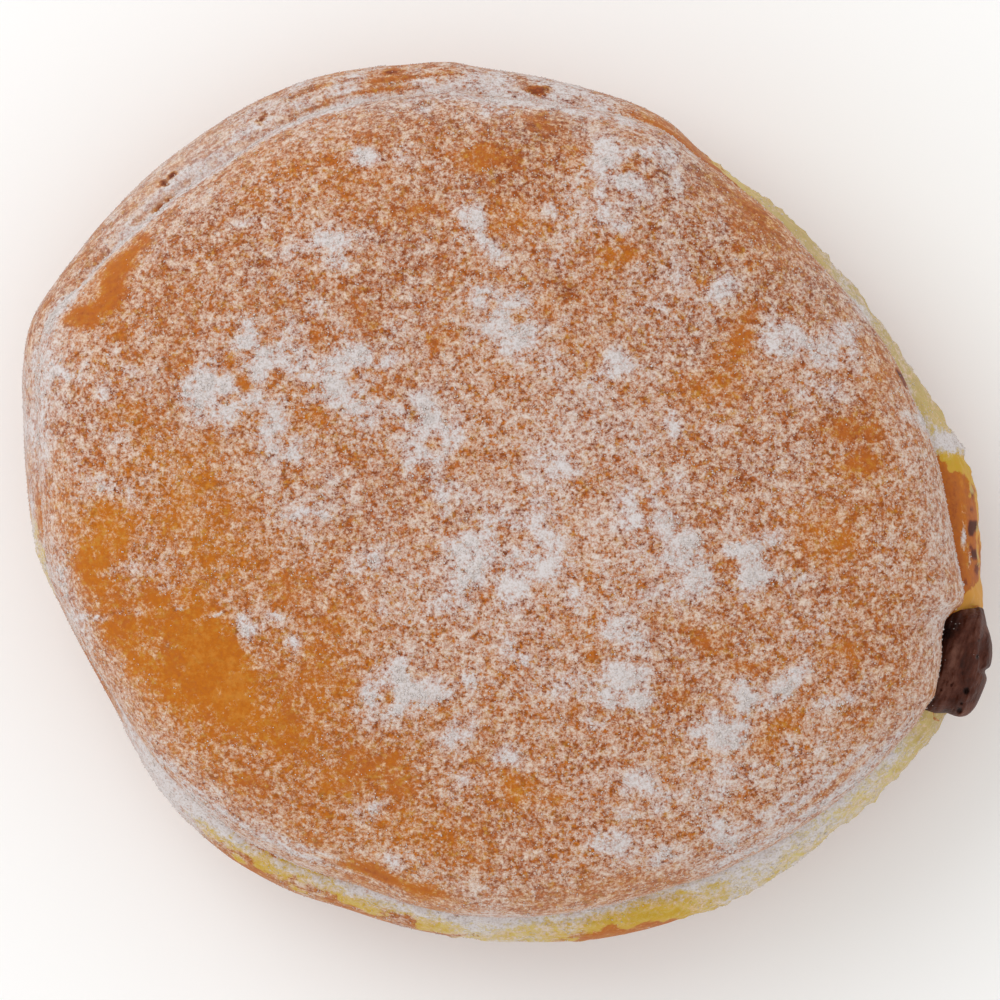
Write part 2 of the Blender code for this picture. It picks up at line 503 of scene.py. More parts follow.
@dataclass(frozen=True)
class RimStreak:
    """A stripe of sugar or bare crust that runs along the top crust's edge."""

    start: float
    end: float
    offset: float
    width: float
    sugar: float
    brown: float = 0.0

    def share(self, degrees: np.ndarray, out: np.ndarray) -> np.ndarray:
        """Return how strongly the stripe acts, by direction and by how far out of the edge."""
        fade = min(4.0, (self.end - self.start) / 3)
        along = smoothstep(self.start - fade, self.start + fade, degrees)
        along *= smoothstep(self.end + fade, self.end - fade, degrees)
        return along * np.exp(-((out - self.offset) / (STRIPE_FADE * self.width)) ** 2)


@dataclass(frozen=True)
class Side:
    """How the ledge round the doughnut looks in one direction.

    The sugar's density is given at the crease and at the rim. Pale crumb shows between two
    shares of the ledge's width, and yolk says how deep a yellow it is. The veil is an even film
    of the finest sugar under the speckles.
    """

    angle: float
    sugar_in: float
    sugar_out: float
    crumb_from: float
    crumb_to: float
    yolk: float = 0.4
    # the crust's browning, which above 0.85 also dulls the crumb with painted shade
    brown: float = 0.8
    veil: float = 0.0


# Each row below gives a patch's fields in their order: x, y, length, width, turn and sugar, and
# where it needs them brown, softness and level. Rows of streaks and sides give theirs
# likewise. Brown_and_shade is how far the crust is browned, and on the crumb it paints shade.

CLUMPS = tuple(Patch(*row) for row in (
    (-27.3, 10.4, 4.2, 3.8, 20, 1.2), (-24.2, 13.2, 6.4, 3.6, 40, 1.15), (-26.6, 7.6, 3, 2.4, 0, 0.6),
    (-23.6, 16.2, 2.2, 1.6, 0, 0.5), (-21.3, 7, 3.4, 4.6, 10, 0.5), (-14.4, 11.6, 5, 3.4, -10, 0.9),
    (-12, 13.8, 4, 2.6, 20, 0.7), (-17, 13.6, 3, 2, 0, 0.2), (-18.8, 18.6, 3.2, 2.4, 0, 0.5),
    (-12.8, 8.8, 4.2, 2.6, 0, 0.45), (-16.3, 25.5, 5.4, 1.6, 10, 0.7), (-16.4, 23.6, 2.6, 2.6, 60, 0.4),
    (-13.4, 34, 4.6, 1.3, -15, 0.9), (-10, 33.4, 4.2, 1, -8, 0.5), (-7.2, 8.8, 4, 2.8, 0, 0.4),
    (-6.4, 6.2, 4, 4, 0, 0.7), (-7.4, 3, 3.2, 2.4, 0, 0.5), (-5.2, 1, 3, 2.4, 0, 0.5),
    (-20, 20.2, 3.6, 1.6, 0, 0.5), (-24.4, 26.7, 2.8, 1.2, 15, 0.5), (1, 18, 4.4, 3.6, 0, 1),
    (-1.4, 19.6, 3.6, 3, 0, 0.5), (-1.9, 26.6, 3.4, 1.5, 125, 0.9), (-7.2, 38.4, 3.6, 1.8, 10, 0.4),
    (-0.6, 38.3, 2.4, 1.4, 0, 0.5), (-42, 12.4, 2.8, 1.6, -30, 0.5), (11.2, 32.4, 4.4, 4, 0, 0.9),
    (12.6, 31, 2.8, 2, 0, 0.6), (16, 33, 4.4, 3, -30, 0.4), (10.6, 28.6, 3.2, 2.4, 60, 0.5),
    (11.8, 26.7, 2, 1.3, 0, 0.8), (6.8, 28.4, 2.6, 3.2, 0, 0.4), (27.6, 16, 5.6, 1.7, -18, 0.9),
    (28.4, 14.9, 2.2, 1.6, 0, 0.6), (32.8, 14.6, 3.8, 3.6, -40, 0.55), (33.4, 17.6, 4, 4, -50, 0.3),
    (11, 13.2, 3, 2, 0, 0.8), (5.6, 14, 3, 2.6, 0, 0.4), (6.4, 23.2, 2.2, 1.8, 0, 0.4),
    (22.4, 26.2, 2.8, 1.2, -20, 0.5), (13.6, 6.2, 2.2, 2, 0, 0.5), (17.4, 7.4, 2.6, 1.6, 100, 0.4),
    (21.6, 7.8, 1.8, 3, 0, 0.3), (5.2, 2.6, 3.4, 4, 0, 0.4), (13.6, 0.8, 4.6, 2.8, 0, 0.5),
    (13.8, -1.4, 4, 2.6, -20, 0.8), (18, -4.4, 4, 2.8, -50, 0.9), (18.6, -6.8, 2.4, 2.4, 0, 0.6),
    (23.4, -4.3, 4.2, 1.5, 10, 1.2), (24.6, -6.4, 1.6, 3, 15, 1.1), (20.6, -7.8, 4, 1.4, 0, 0.5),
    (4, -5.4, 3.4, 2.4, 0, 0.9), (4, -2.2, 4, 3.4, 0, 0.5), (1, -8.4, 2.8, 2.2, 0, 0.6),
    (-2.6, -4, 3.6, 1.8, 0, 1.2), (-2.5, -6.6, 2.2, 3.6, 0, 1.1), (-1.6, -1, 3.6, 2, 0, 0.5),
    (-5.2, -1.6, 2.6, 1.6, 0, 0.5), (-3.6, -9.6, 4, 1.8, 0, 0.3), (-11.4, -9.8, 2.6, 2, 0, 0.4),
    (-8.6, -18.3, 3.4, 2.2, 0, 1.3), (-9, -16.6, 1.4, 2, 0, 0.8), (-12.8, -18.6, 3.4, 1.8, 10, 0.8),
    (-13.3, -20.5, 3, 1.6, 0, 0.7), (-5.6, -17.6, 3, 1.8, 0, 0.5), (-2.2, -17.6, 3.2, 1.8, 0, 0.5),
    (-3.4, -22, 2.8, 4.4, 0, 0.6), (0.8, -24, 2.4, 1.2, 0, 0.8), (-3.6, -27, 1.8, 3, 0, 0.4),
    (-24.4, -12.2, 2.2, 3, 0, 0.5), (-21.4, -11.1, 3, 1.2, 0, 0.6), (-20, -14.2, 1.2, 2.6, 0, 0.6),
    (-12.4, -29.3, 2.4, 1, 0, 0.7), (-33, -7, 2, 3, 20, 0.5), (-37.4, -5.9, 5, 1.6, 0, 0.6),
    (-37.6, -10.7, 4.6, 0.5, 3, 0.9), (-27.7, -10.8, 2.6, 0.4, 5, 0.9), (-31.6, -9.4, 3, 0.4, -5, 0.7),
    (-31.6, -13.8, 1.8, 0.5, -10, 0.8), (-17.4, -1.3, 5.4, 0.5, -3, 0.6), (12.4, -16.4, 4, 2.2, 20, 1),
    (13.8, -19, 2.8, 1.5, 0, 0.9), (12.4, -12.2, 3.4, 1.5, 15, 0.6), (14.4, -14, 2.4, 2.4, 0, 0.4),
    (7.4, -18.4, 3.2, 2.4, 0, 0.3), (11, -18.8, 2.2, 2.4, 0, 0.8), (9.4, -20.4, 3.6, 1.6, 0, 0.5),
    (23.5, -18.4, 1.8, 1.2, 0, 1.1), (28, -17.3, 6, 1.4, 35, 0.8), (22.2, -21.6, 4.2, 2, 20, 1),
    (21, -20, 2, 1.4, 0, 0.6), (34, -18.2, 2.4, 1.4, 30, 0.6), (31, -19.4, 2.4, 0.9, 30, 0.5),
    (13.4, -27.8, 4, 2.8, 0, 0.6), (16, -28.6, 2.4, 2, 0, 0.6), (11.6, -29.6, 2.2, 1, 0, 0.7),
    (11, -32.4, 3.2, 2.4, 0, 0.5), (15.8, -33.5, 2.2, 1.8, 0, 0.6), (20.8, -31.8, 4, 3.4, 20, 0.4),
    (17.3, -25.5, 2.4, 1.8, 0, 0.15), (28.6, -7.4, 3.4, 1.4, 0, 0.3), (30.2, -12.2, 3.4, 1.8, 0, 0.55),
    (31.8, 11, 3.2, 2.4, 0, 0.5), (21.4, 21.4, 2.6, 2, 0, 0.55), (-12.6, -5.6, 3.4, 2, 0, 0.35),
    (-9.2, -35, 3.4, 2.4, 0, 0.45), (-21.8, 30.4, 3.4, 2.6, 0, 0.3), (1.6, -14.2, 2.4, 2, 0, 0.4),
    (-36.6, 12.6, 5, 3.4, 0, 0.25), (29.4, -23.8, 3, 3, 0, 0.4), (24, -6, 2, 2, 0, 0.3),
))

DRIFTS = tuple(Patch(*row) for row in (
    (28, 26, 40, 11, -48, -0.1), (-36, -11.6, 17, 6, -64, -0.5, -0.2), (-43.2, -0.2, 9, 3.4, 90, -0.35),
    (-41, 18, 8, 4, 60, -0.15), (-12, 35.4, 30, 6, 12, -0.1), (9, 34.4, 12, 6, -15, -0.15),
    (41.8, 6, 18, 6, 100, -0.05), (44.4, -7, 7, 3, 90, -0.2), (23, 29, 12, 5, -40, -0.15),
    (-13.8, -36.2, 7, 3.6, -14, -0.3), (-7, -39, 9, 2.4, -8, -0.3), (-31.6, -25.4, 9, 3.4, -50, -0.4),
    (-36.6, -13, 8, 2.8, -66, -0.2), (-18.8, -32.2, 8, 2.8, -30, -0.25), (17.5, 30.5, 10, 7, -30, 0.12),
    (3, 40.5, 12, 1.6, -4, 0.3), (-8.5, 38, 10, 4.4, 8, -0.2), (-30.5, 30.4, 14, 2.4, 45, -0.15),
    (32, -22, 10, 5, 50, 0.12), (41, -7, 8, 4, 80, 0.12), (-3, 32.6, 26, 13, 0, 0.04, 0.2),
    (3, -38.6, 12, 3, 3, -0.1), (8, -8.6, 21, 16, 0, 0.16), (7, -18, 16, 10, 0, 0.08),
    (3.6, -4, 3, 2.4, 0, -0.2), (-37.5, 10.5, 18, 11, 90, 0.2), (-20.5, 12.6, 9, 13, 0, 0.4),
    (-18, 29, 14, 9, 0, -0.12), (-24, 35, 10, 4, 35, -0.2), (9, -37.6, 18, 3.6, 6, -0.3),
    (-27, -25, 14, 5, -45, -0.2), (-19, -19, 14, 12, -30, -0.25), (-14, -10.6, 12, 7, 0, -0.15),
    (-14, -29, 14, 6, -12, -0.2), (28, -12.6, 9, 6, 0, 0.15), (16.6, -26.4, 5, 3.4, 0, -0.14),
    (16.4, -11.4, 5, 3.4, 0, -0.25), (17.2, -18.2, 4, 3, 0, -0.3), (20.6, 10, 12, 6, 0, -0.1),
    (-9, 11.4, 5, 4, 0, -0.15), (5, 18.6, 9, 7, 0, 0.22), (-5, 22.6, 8, 6, 0, 0.15),
    (-30, -1.6, 8, 8, 0, -0.2), (-3, 33.6, 8, 4, 0, 0, -0.35), (-2.4, -3.4, 10, 6, 0, -0.2),
    (-14.6, -3.4, 6, 4, 0, -0.16), (-6.8, 2.6, 6, 5, 0, -0.2, 0.1), (-6.8, 8.6, 6, 5, 0, -0.06, 0.3),
    (-6.8, -15, 6, 5, 0, -0.06, 0.3), (10.7, -15.4, 5, 4, 0, -0.26), (10.7, -9.4, 6, 4, 0, 0.34),
    (22.3, -20.9, 6, 5, 0, -0.24), (36, 14, 7, 5, 90, -0.24), (38, -4, 9, 5, 90, 0.16),
    (-18.4, 2.4, 5, 4, 0, -0.15), (16.5, 2, 5, 4, 0, 0.18), (22.3, -3.4, 5, 4, 0, 0.16),
    (16.5, 20.4, 6, 5, 0, 0.24), (22.3, -26.8, 6, 4, 0, 0.24), (-13, 14.2, 5, 4, 0, 0.34),
    (28, -9, 7, 6, 0, 0.12), (-30, -9.4, 4.4, 4, 0, -0.25, -0.2), (-36, 2, 7, 5, 0, 0.2),
    (-29.6, -16.6, 4, 3, -60, -0.3, -0.1),
))

BARE_PATCHES = tuple(Patch(*row) for row in (
    (-28.5, -15.6, 13.2, 7.8, -69, -1, -0.45, 0.65), (-24.6, -19.8, 8, 4, -30, -0.25, -0.4),
    (-33.2, -8.4, 2.6, 5, 0, -0.7, -0.2), (-25.4, -15.4, 2, 6, 0, -0.3, -0.2),
    (-31, -15.6, 7, 3, -60, 0, 0.35), (-26, -20, 6, 4, -50, 0, 0.2),
    (-37.8, -2.6, 7, 6, 90, -0.4, -0.4, 0.9), (-39, -6.4, 4, 3.4, 0, -0.4, -0.2),
    (-34.4, 5.4, 6, 5, 0, -0.1, -0.35), (-30, 2.4, 9, 6, 0, -0.12, -0.35),
    (-36, 8.6, 5, 3, 0, -0.3, -0.3), (-27, -4, 12, 7, 0, -0.15, -0.3),
    (-36.2, 23.2, 5.2, 2.6, 22, -0.85, 0.05, 0.6), (-34.6, 25.2, 2.8, 1.8, 50, -0.5, 0.1, 0.7),
    (-37.5, 20.4, 5.4, 2.3, 66, -0.75, 0.05, 0.6), (-39.9, 17.8, 4, 2.5, 5, -1, 0.15, 0.6),
    (-38.5, 21.3, 8, 3.4, 50, -0.3), (-20.6, -23.2, 7, 4, -20, -0.25, -0.1),
    (-15, -26.4, 4, 2.4, 0, -0.5), (-12.2, -24.6, 5, 2.2, 0, -0.55), (-9.6, -26.4, 4, 3.4, 0, -0.4),
    (-0.6, 33.6, 6.4, 2.2, 0, -0.55, -0.1), (4, 37.2, 6, 2.4, -10, -0.34),
    (-8, 28.4, 5.4, 3.4, 0, -0.3), (-13, 18.4, 4, 4, 0, -0.35), (2, 27.4, 5, 3.4, 0, -0.2, -0.2),
    (12.4, 24, 5, 1.8, 0, -0.3, -0.2), (33.6, 7.6, 5.4, 2.4, -10, -0.44),
    (24.4, 17.4, 3, 4, 0, -0.4, -0.2), (22.4, 14.6, 5, 4.4, 0, -0.35, -0.3),
    (20.4, 11.6, 6, 2.4, 0, -0.3, -0.3), (34.6, 3.8, 4, 2.6, 0, -0.4), (31.4, -3, 7, 5, 0, -0.25, -0.3),
    (20.2, -12.8, 4.6, 2.4, 0, -0.4), (33, -14.4, 4, 2.4, 0, -0.3, -0.1), (24, -15.6, 4, 1.8, 0, -0.4),
    (28, -20.8, 4.2, 1.6, 10, -0.4), (25.8, -23, 3, 2, 0, -0.3), (5.2, -28.6, 3, 2, 0, -0.4),
    (1.6, -27.2, 4.4, 3.4, 0, -0.4, -0.3), (-3, -33, 5, 6, 0, -0.2, -0.1),
    (-23.4, -27, 4.4, 2, 0, -0.3, 0.2), (-17, 13.2, 2.6, 2.4, 0, -0.32), (-19.4, -8, 5, 3, 0, -0.25),
    (-25, 0, 4, 3, 0, -0.2), (6.2, 21.2, 3.4, 2, -20, -0.3, 0.5), (-30.2, 13, 4, 2, 0, -0.3),
    (-17.4, 8.2, 2.8, 1.8, 0, -0.28), (-5.4, 15.8, 4, 2.6, 0, -0.3),
))

BROWN_SPOTS = tuple(Patch(*row) for row in (
    (46.1, -2.1, 1.1, 1.5, 0, -0.5, 1.9, 0.3), (46, -0.55, 0.45, 0.45, 0, -0.5, 1.5, 0.4),
    (46.3, -4.7, 0.8, 1.1, 0, -0.5, 1.3, 0.4), (46, -4.1, 0.5, 0.9, 20, -0.5, 0.8, 0.4),
    (46, 1.2, 0.6, 1.3, 10, -0.5, 0.8, 0.4), (45.3, -7.5, 0.6, 0.6, 0, -0.5, 0.8, 0.5),
    (46.5, -6.2, 0.5, 1.2, 0, -0.5, 0.7, 0.4), (44.6, 3.6, 0.5, 0.6, 0, -0.5, 0, 0.4),
    (45.1, -1.2, 0.7, 6.4, 4, 0.95, -0.4, 0.7), (45.6, -5.4, 1.1, 4, 10, 1.45, -0.4, 0.7),
    (43.9, 0.2, 1.1, 7, 12, 0, 0.15, 0.7), (44.9, 2.2, 0.6, 3, 14, 0, -0.5, 0.7),
    (38.7, 12.8, 1.2, 0.9, 10, -1.4, 0.8, 0.4, 27.6), (39.2, 12.2, 0.7, 1.9, 20, -1.4, 0.8, 0.4, 26.8),
    (-23.1, 37.1, 0.7, 0.6, 0, -1.4, 0.9, 0.3), (-22.8, 37.6, 0.4, 1.1, -20, -1, 0.6, 0.3),
    (-31.7, 31.8, 1.2, 0.7, 45, -1.4, 0.7, 0.3), (-32.5, 31.1, 1, 0.7, 30, -1.4, 0.7, 0.3),
    (3.9, 40.2, 3.2, 0.9, 0, -1.4, 0.3, 0.3), (-10.4, 42.1, 1.6, 0.5, 0, -0.8, 0.4, 0.3),
    (-32.9, 28.7, 1.4, 0.6, 45, -1, 0.3, 0.4), (-31.9, 29.6, 0.9, 0.4, 45, -1, 0.3, 0.4),
    (-17.6, 40.6, 3, 0.4, 12, -0.4, 0.3, 0.5), (-10, 42, 2.4, 0.5, 3, -0.5, 0.3, 0.5),
    (44.3, -9.9, 2.4, 1.8, 20, -0.6, 0.5, 0.6, 26), (44.6, 2, 0.4, 0.4, 0, 2.4, 0, 0.4),
    (43.2, 6.6, 5.6, 0.9, -40, 1.1, 0, 0.5),
))

RIM_STREAKS = tuple(RimStreak(*row) for row in (
    (226, 264, 0.5, 0.8, 0.5), (264, 302, 0.3, 0.6, 0.4), (229, 255, -1.1, 0.4, 0.5),
    (235, 250, -1.9, 0.4, 0.4), (247, 262, -1.7, 1.1, -0.9, 0.2), (300, 333, -0.7, 0.5, 0.4),
    (303, 328, -2.2, 0.5, 0.3), (306, 322, -3.2, 0.4, 0.25), (316, 324, -1.5, 0.5, -0.5, 0.2),
    (108, 152, -0.1, 0.35, 0.6), (133, 141, 0.5, 0.6, -0.5, 0.2), (103, 119, 0.8, 0.4, -0.6, 0.3),
    (98, 108, 1.8, 0.4, -0.6, 0.3), (110, 118, 2.4, 0.4, -0.5, 0.3), (121, 133, 1.4, 0.4, 0.4),
    (153, 158, -0.2, 0.7, 0.9), (68, 100, -0.5, 0.7, 0.35), (44, 62, -1, 1, -0.35, 0.2),
    (15, 52, -1.6, 2.4, -0.1), (340, 358, -0.7, 1.4, 0.05), (214, 227, -0.6, 1.8, 0.5),
    (160, 200, -0.6, 1.6, 0.25),
))

# Rows from 10 to 46 degrees set brown above 0.85, painting shade on the crumb facing away from the lamp
SIDES = tuple(Side(*row) for row in (
    (0, -1.2, -1.2, 0.98, 1.3, 1.6, 0.78), (2.5, -1.2, -1.2, 0.86, 1.3, 1.4, 0.72),
    (5, -1, -0.9, 0.55, 1.3, 1.2, 0.65), (7.5, 1.1, 0.9, 0.2, 1.3, 0.8, 0.75),
    (10, 0.3, 0, 0.1, 1.3, 0.5, 1.05), (14, 0.4, 0.1, 0.1, 1.3, 0.45, 1.15),
    (22, 0.55, 0.3, 0.1, 1.3, 0.3, 1.22), (35, 0.55, 0.3, 0.1, 1.3, 0.3, 1.22),
    (42, 0.4, 0.1, 0.2, 1.25, 0.45, 1.2), (46, 0.1, 0.15, 0.2, 1.25, 0.45, 1.2),
    (54, -0.2, 0, 0.6, 1.1, 0.4, 1), (62, -0.4, -0.15, 1, 0.9), (68, -0.25, 0, 1, 0.9, 0.4, 0.7),
    (75, 0.45, 0.3, 1, 0.9, 0.4, 0.9), (80, 0.6, 0.5, 1, 0.9, 0.4, 1), (90, 0.5, 0.55, 1, 0.9, 0.4, 1),
    (98, 0.5, 0.15, 1, 0.9, 0.4, 0.8), (108, 0.55, 0.4, 1, 0.9, 0.4, 0.75, 0.08),
    (120, 0.45, 0.45, 1, 0.9, 0.4, 0.95, 0.12), (135, 0.95, 0.35, 1, 0.9, 0.4, 1.1, 0.32),
    (148, 0.5, 0.32, 1, 0.9, 0.4, 1, 0.1), (158, 0.52, 0.2, 1, 0.9, 0.4, 1, 0.1),
    (168, 0.5, 0.7, 1, 0.9, 0.4, 0.85, 0.15), (178, 0.2, 0.45, 1, 0.9, 0.4, 0.85, 0.15),
    (186, 0.45, 0.6, 0.7, 1.1, 0.6, 0.8, 0.15), (195, 0.6, 0.2, 1, 0.9, 0.4, 0.9, 0.1),
    (205, 0.6, -0.15, 1, 0.9, 0.4, 0.95, 0.05), (213, 0.7, 0.75, 1, 0.9, 0.4, 0.8, 0.35),
    (221, 0.95, 1.25, 1, 0.9, 0.4, 0.8, 0.45), (227, 0.8, 0.5, 0.45, 0.8, 0.8, 0.8, 0.1),
    (236, 0.2, -0.05, 0.25, 0.8, 0.9, 0.7), (244, 0.3, 0.1, 0.25, 0.8, 0.9, 0.7),
    (250, 1, 0.1, 0.34, 0.8, 0.85, 0.7), (258, 1, 0, 0.3, 0.78, 0.8, 0.8),
    (268, 1.2, 0.45, 0.2, 1.1, 0.45), (278, 0.8, 0.2, 0.2, 0.98, 0.75),
    (285, 0.55, -0.45, 0.12, 0.86, 0.95, 0.6), (292, 0.6, -0.45, 0.12, 0.84, 0.95, 0.65),
    (299, 0.75, 0.4, 0.15, 1.15, 0.6), (310, 1.1, 0.45, 0.15, 1.3, 0.35),
    (322, 0.85, 0.3, 0.15, 1.3, 0.35), (332, 0.35, 0.2, 0.15, 1.3, 0.35, 1.1),
    (346, -0.8, -0.8, 0.2, 1.3, 1.9, 0.75), (348.6, -1.1, -1.1, 0.4, 1.3, 2, 0.8),
    (352, -1.2, -1.2, 0.98, 1.3, 1.9, 0.95), (356, -1.2, -1.2, 1.02, 1.3, 1.9, 0.8),
))


@dataclass
class Coating:
    """Where the crust is pale, where it is browned, and how thickly the sugar lies on it.

    Sugar is a density: about 0 leaves the crust nearly bare and about 1 hides it. The top crust
    has a base with more at the rim and in the middle, and it drifts. A clump heaps up sugar
    with a lacy outline, and sheds a wider halo of specks. All patches' outlines are warped, in
    millimetres. Below the collar the looks of the sides stray, in radians, so that none ends
    on an upright line. Some noise is read on tilted axes, so that clumps don't line up.
    """

    shape: DoughShape
    patches: tuple[Patch, ...] = CLUMPS + DRIFTS + BARE_PATCHES + BROWN_SPOTS
    streaks: tuple[RimStreak, ...] = RIM_STREAKS
    sides: tuple[Side, ...] = SIDES
    base: float = 0.24
    rim: float = 0.17
    middle: float = 0.10
    drift: float = 0.12
    warp: float = 0.8
    calm: float = 0.25
    heaping: float = 0.62
    spread: float = 1.12
    halo: float = 0.32
    halo_spread: float = 2.2
    straying: float = 0.35
    side_sugar_usual: float = 0.3
    under_sugar: float = 0.18
    browning: float = 0.75
    brown_slope: tuple[float, float] = (0.002, 0.003)
    raggedness: float = 0.2
    tilt: tuple = ((0.80, -0.50, 0.33), (0.60, 0.66, -0.45), (0.0, 0.56, 0.83))

    def fields(self, grid: DoughGrid) -> dict[str, np.ndarray]:
        """Work out the coating at each point of the grid.

        Args:
            grid: the dough's surface.

        Returns:
            One flat array for each field that the finish reads from the mesh.
        """
        rows, columns, _ = grid.points.shape
        flat = grid.points.reshape(-1, 3)
        zone = np.repeat(grid.zones, columns)
        share = np.repeat(grid.ledge_share, columns)
        angles = np.tile(grid.angles, rows)
        collar, ledge = self.shape.outline(angles)
        out = np.hypot(flat[:, 0], flat[:, 1]) - (collar - ledge)
        on_side = (zone == Zone.COLLAR.value) | (zone == Zone.LOWER.value)
        under = smoothstep(13.5, 7.0, flat[:, 2])
        look = self.side_look(flat, angles)

        sugar = np.where(
            on_side,
            self.side_sugar(flat, share, look) * (1 - under) + self.under_sugar * under,
            self.top_sugar(-out) + self.drift * noise(flat, 9.0, 31, 2),
        )
        brown = self.browning + self.brown_slope[0] * flat[:, 0] + self.brown_slope[1] * flat[:, 1]
        brown = brown + 0.3 * noise(flat, 8.0, 47, 3)
        under_brown = self.browning + 0.2 * noise(flat, 12.0, 47, 3)
        brown = np.where(on_side, look["brown"] * (1 - under) + under_brown * under, brown)
        crumb = np.where(zone == Zone.LOWER.value, self.belt(flat, look), self.collar(flat, share, look))
        pale = np.where(on_side, crumb, 0.0)

        self.lay_patches(flat, np.degrees(angles), out, on_side, sugar, brown)
        side_veil = np.clip(look["veil"], 0, 1) * (1 - under)
        veil = np.where(on_side, side_veil, 0.10 * smoothstep(-5.0, -0.5, out))
        veil *= smoothstep(-0.4, 0.2, sugar) * (1 - 0.8 * pale)
        streaky = 0.15 * smoothstep(-14.0, -4.0, out) + 0.5 * smoothstep(-3.0, -0.6, out)
        return {
            "sugar": sugar, "veil": veil, "pale": pale, "yolk": np.clip(look["yolk"], 0, 2),
            "brown": brown, "streaky": streaky, "from_edge": grid.from_edge.ravel(),
        }

    def side_look(self, flat: np.ndarray, angles: np.ndarray) -> dict[str, np.ndarray]:
        """Read the looks of the sides in each direction.

        Args:
            flat: the points.
            angles: their directions in radians.

        Returns:
            An array for each of the looks.
        """
        below = smoothstep(15.5, 12.0, flat[:, 2])
        strayed = angles + self.straying * below * noise(flat, 9.0, 71, 3)
        return {
            name: closed_curve(self.sides, name, strayed)
            for name in ("sugar_in", "sugar_out", "crumb_from", "crumb_to", "yolk", "brown", "veil")
        }

    def top_sugar(self, inside: np.ndarray) -> np.ndarray:
        """Return the dusting's usual density on the top crust, by the distance from its edge."""
        at_rim = self.rim * smoothstep(5.5, 1.0, inside)
        return self.base + at_rim + self.middle * smoothstep(16.0, 30.0, inside)

    def side_sugar(self, flat: np.ndarray, share: np.ndarray, look: dict) -> np.ndarray:
        """Return the dusting's density on the ledge, evened out where the wall turns under.

        Args:
            flat: the points.
            share: how far across the ledge each lies.
            look: the looks of the sides.

        Returns:
            A density for each point.
        """
        inward = smoothstep(0.2, 0.95, share)
        sugar = look["sugar_in"] + (look["sugar_out"] - look["sugar_in"]) * inward
        sugar += (self.side_sugar_usual - sugar) * 0.65 * smoothstep(15.0, 11.5, flat[:, 2])
        return sugar + 0.3 * noise(flat, 2.4, 67, 3)

    def collar(self, flat: np.ndarray, share: np.ndarray, look: dict) -> np.ndarray:
        """Return how far pale crumb shows on the ledge, between two ragged lines round it.

        Args:
            flat: the points.
            share: how far across the ledge each lies.
            look: the looks of the sides.

        Returns:
            A number from 0 to 1 for each point.
        """
        ragged = self.raggedness * noise(flat, 1.8, 59, 3)
        pale = smoothstep(-0.14, 0.14, share - look["crumb_from"] + ragged)
        return pale * smoothstep(0.14, -0.14, share - look["crumb_to"] + ragged)

    def belt(self, flat: np.ndarray, look: dict) -> np.ndarray:
        """Return how far pale crumb shows below the collar, where it runs on down the wall."""
        taper = 5.5 * smoothstep(1.28, 0.92, look["crumb_to"])
        return smoothstep(9.5, 11.5, flat[:, 2] + 1.6 * noise(flat, 5.0, 61, 3) - taper)

    def lay_patches(
        self, flat: np.ndarray, degrees: np.ndarray, out: np.ndarray, on_side: np.ndarray,
        sugar: np.ndarray, brown: np.ndarray,
    ) -> None:
        """Add the patches and the streaks at the rim to the sugar and the browning.

        Args:
            flat: the points.
            degrees: their directions.
            out: how far outside the top crust's edge they lie.
            on_side: which of them are on the sides.
            sugar: the dusting's densities, which are changed.
            brown: the crust's browning and the crumb's painted shade, which are changed.
        """
        tilted = flat @ np.array(self.tilt)
        wander = noise(tilted, 2.2, 11, 2), noise(tilted, 2.2, 23, 2)
        warp = self.warp * np.where(on_side | (out > -1.5), self.calm, 1.0)
        x, y = (flat[:, axis] + warp * wander[axis] for axis in range(2))
        lacy = 0.8 + 1.3 * noise(tilted, 1.4, 41, 2)
        ragged = 0.95 + 0.5 * noise(tilted, 1.1, 43, 2)
        specks = 0.6 + 1.6 * noise(tilted, 2.0, 45, 2)
        from_above = smoothstep(12.6, 14.6, flat[:, 2])
        halo = np.zeros_like(sugar)
        for patch in self.patches:
            effect = patch.share(x, y, self.spread if patch.sugar > 0 else 1.0) * from_above
            effect = effect * patch.upright_share(flat[:, 2])
            if patch.sugar > 0:
                sugar += self.heaping * patch.sugar * effect * lacy
                halo = np.maximum(halo, patch.sugar * patch.share(x, y, self.halo_spread) * from_above)
            else:
                sugar += patch.sugar * effect * ragged
            brown += patch.brown * effect
        sugar += self.halo * halo * specks
        for streak in self.streaks:
            effect = streak.share(degrees, out + 0.15 * wander[0]) * from_above
            sugar += streak.sugar * effect
            brown += streak.brown * effect


# ---------------------------------------------------------------- finishes


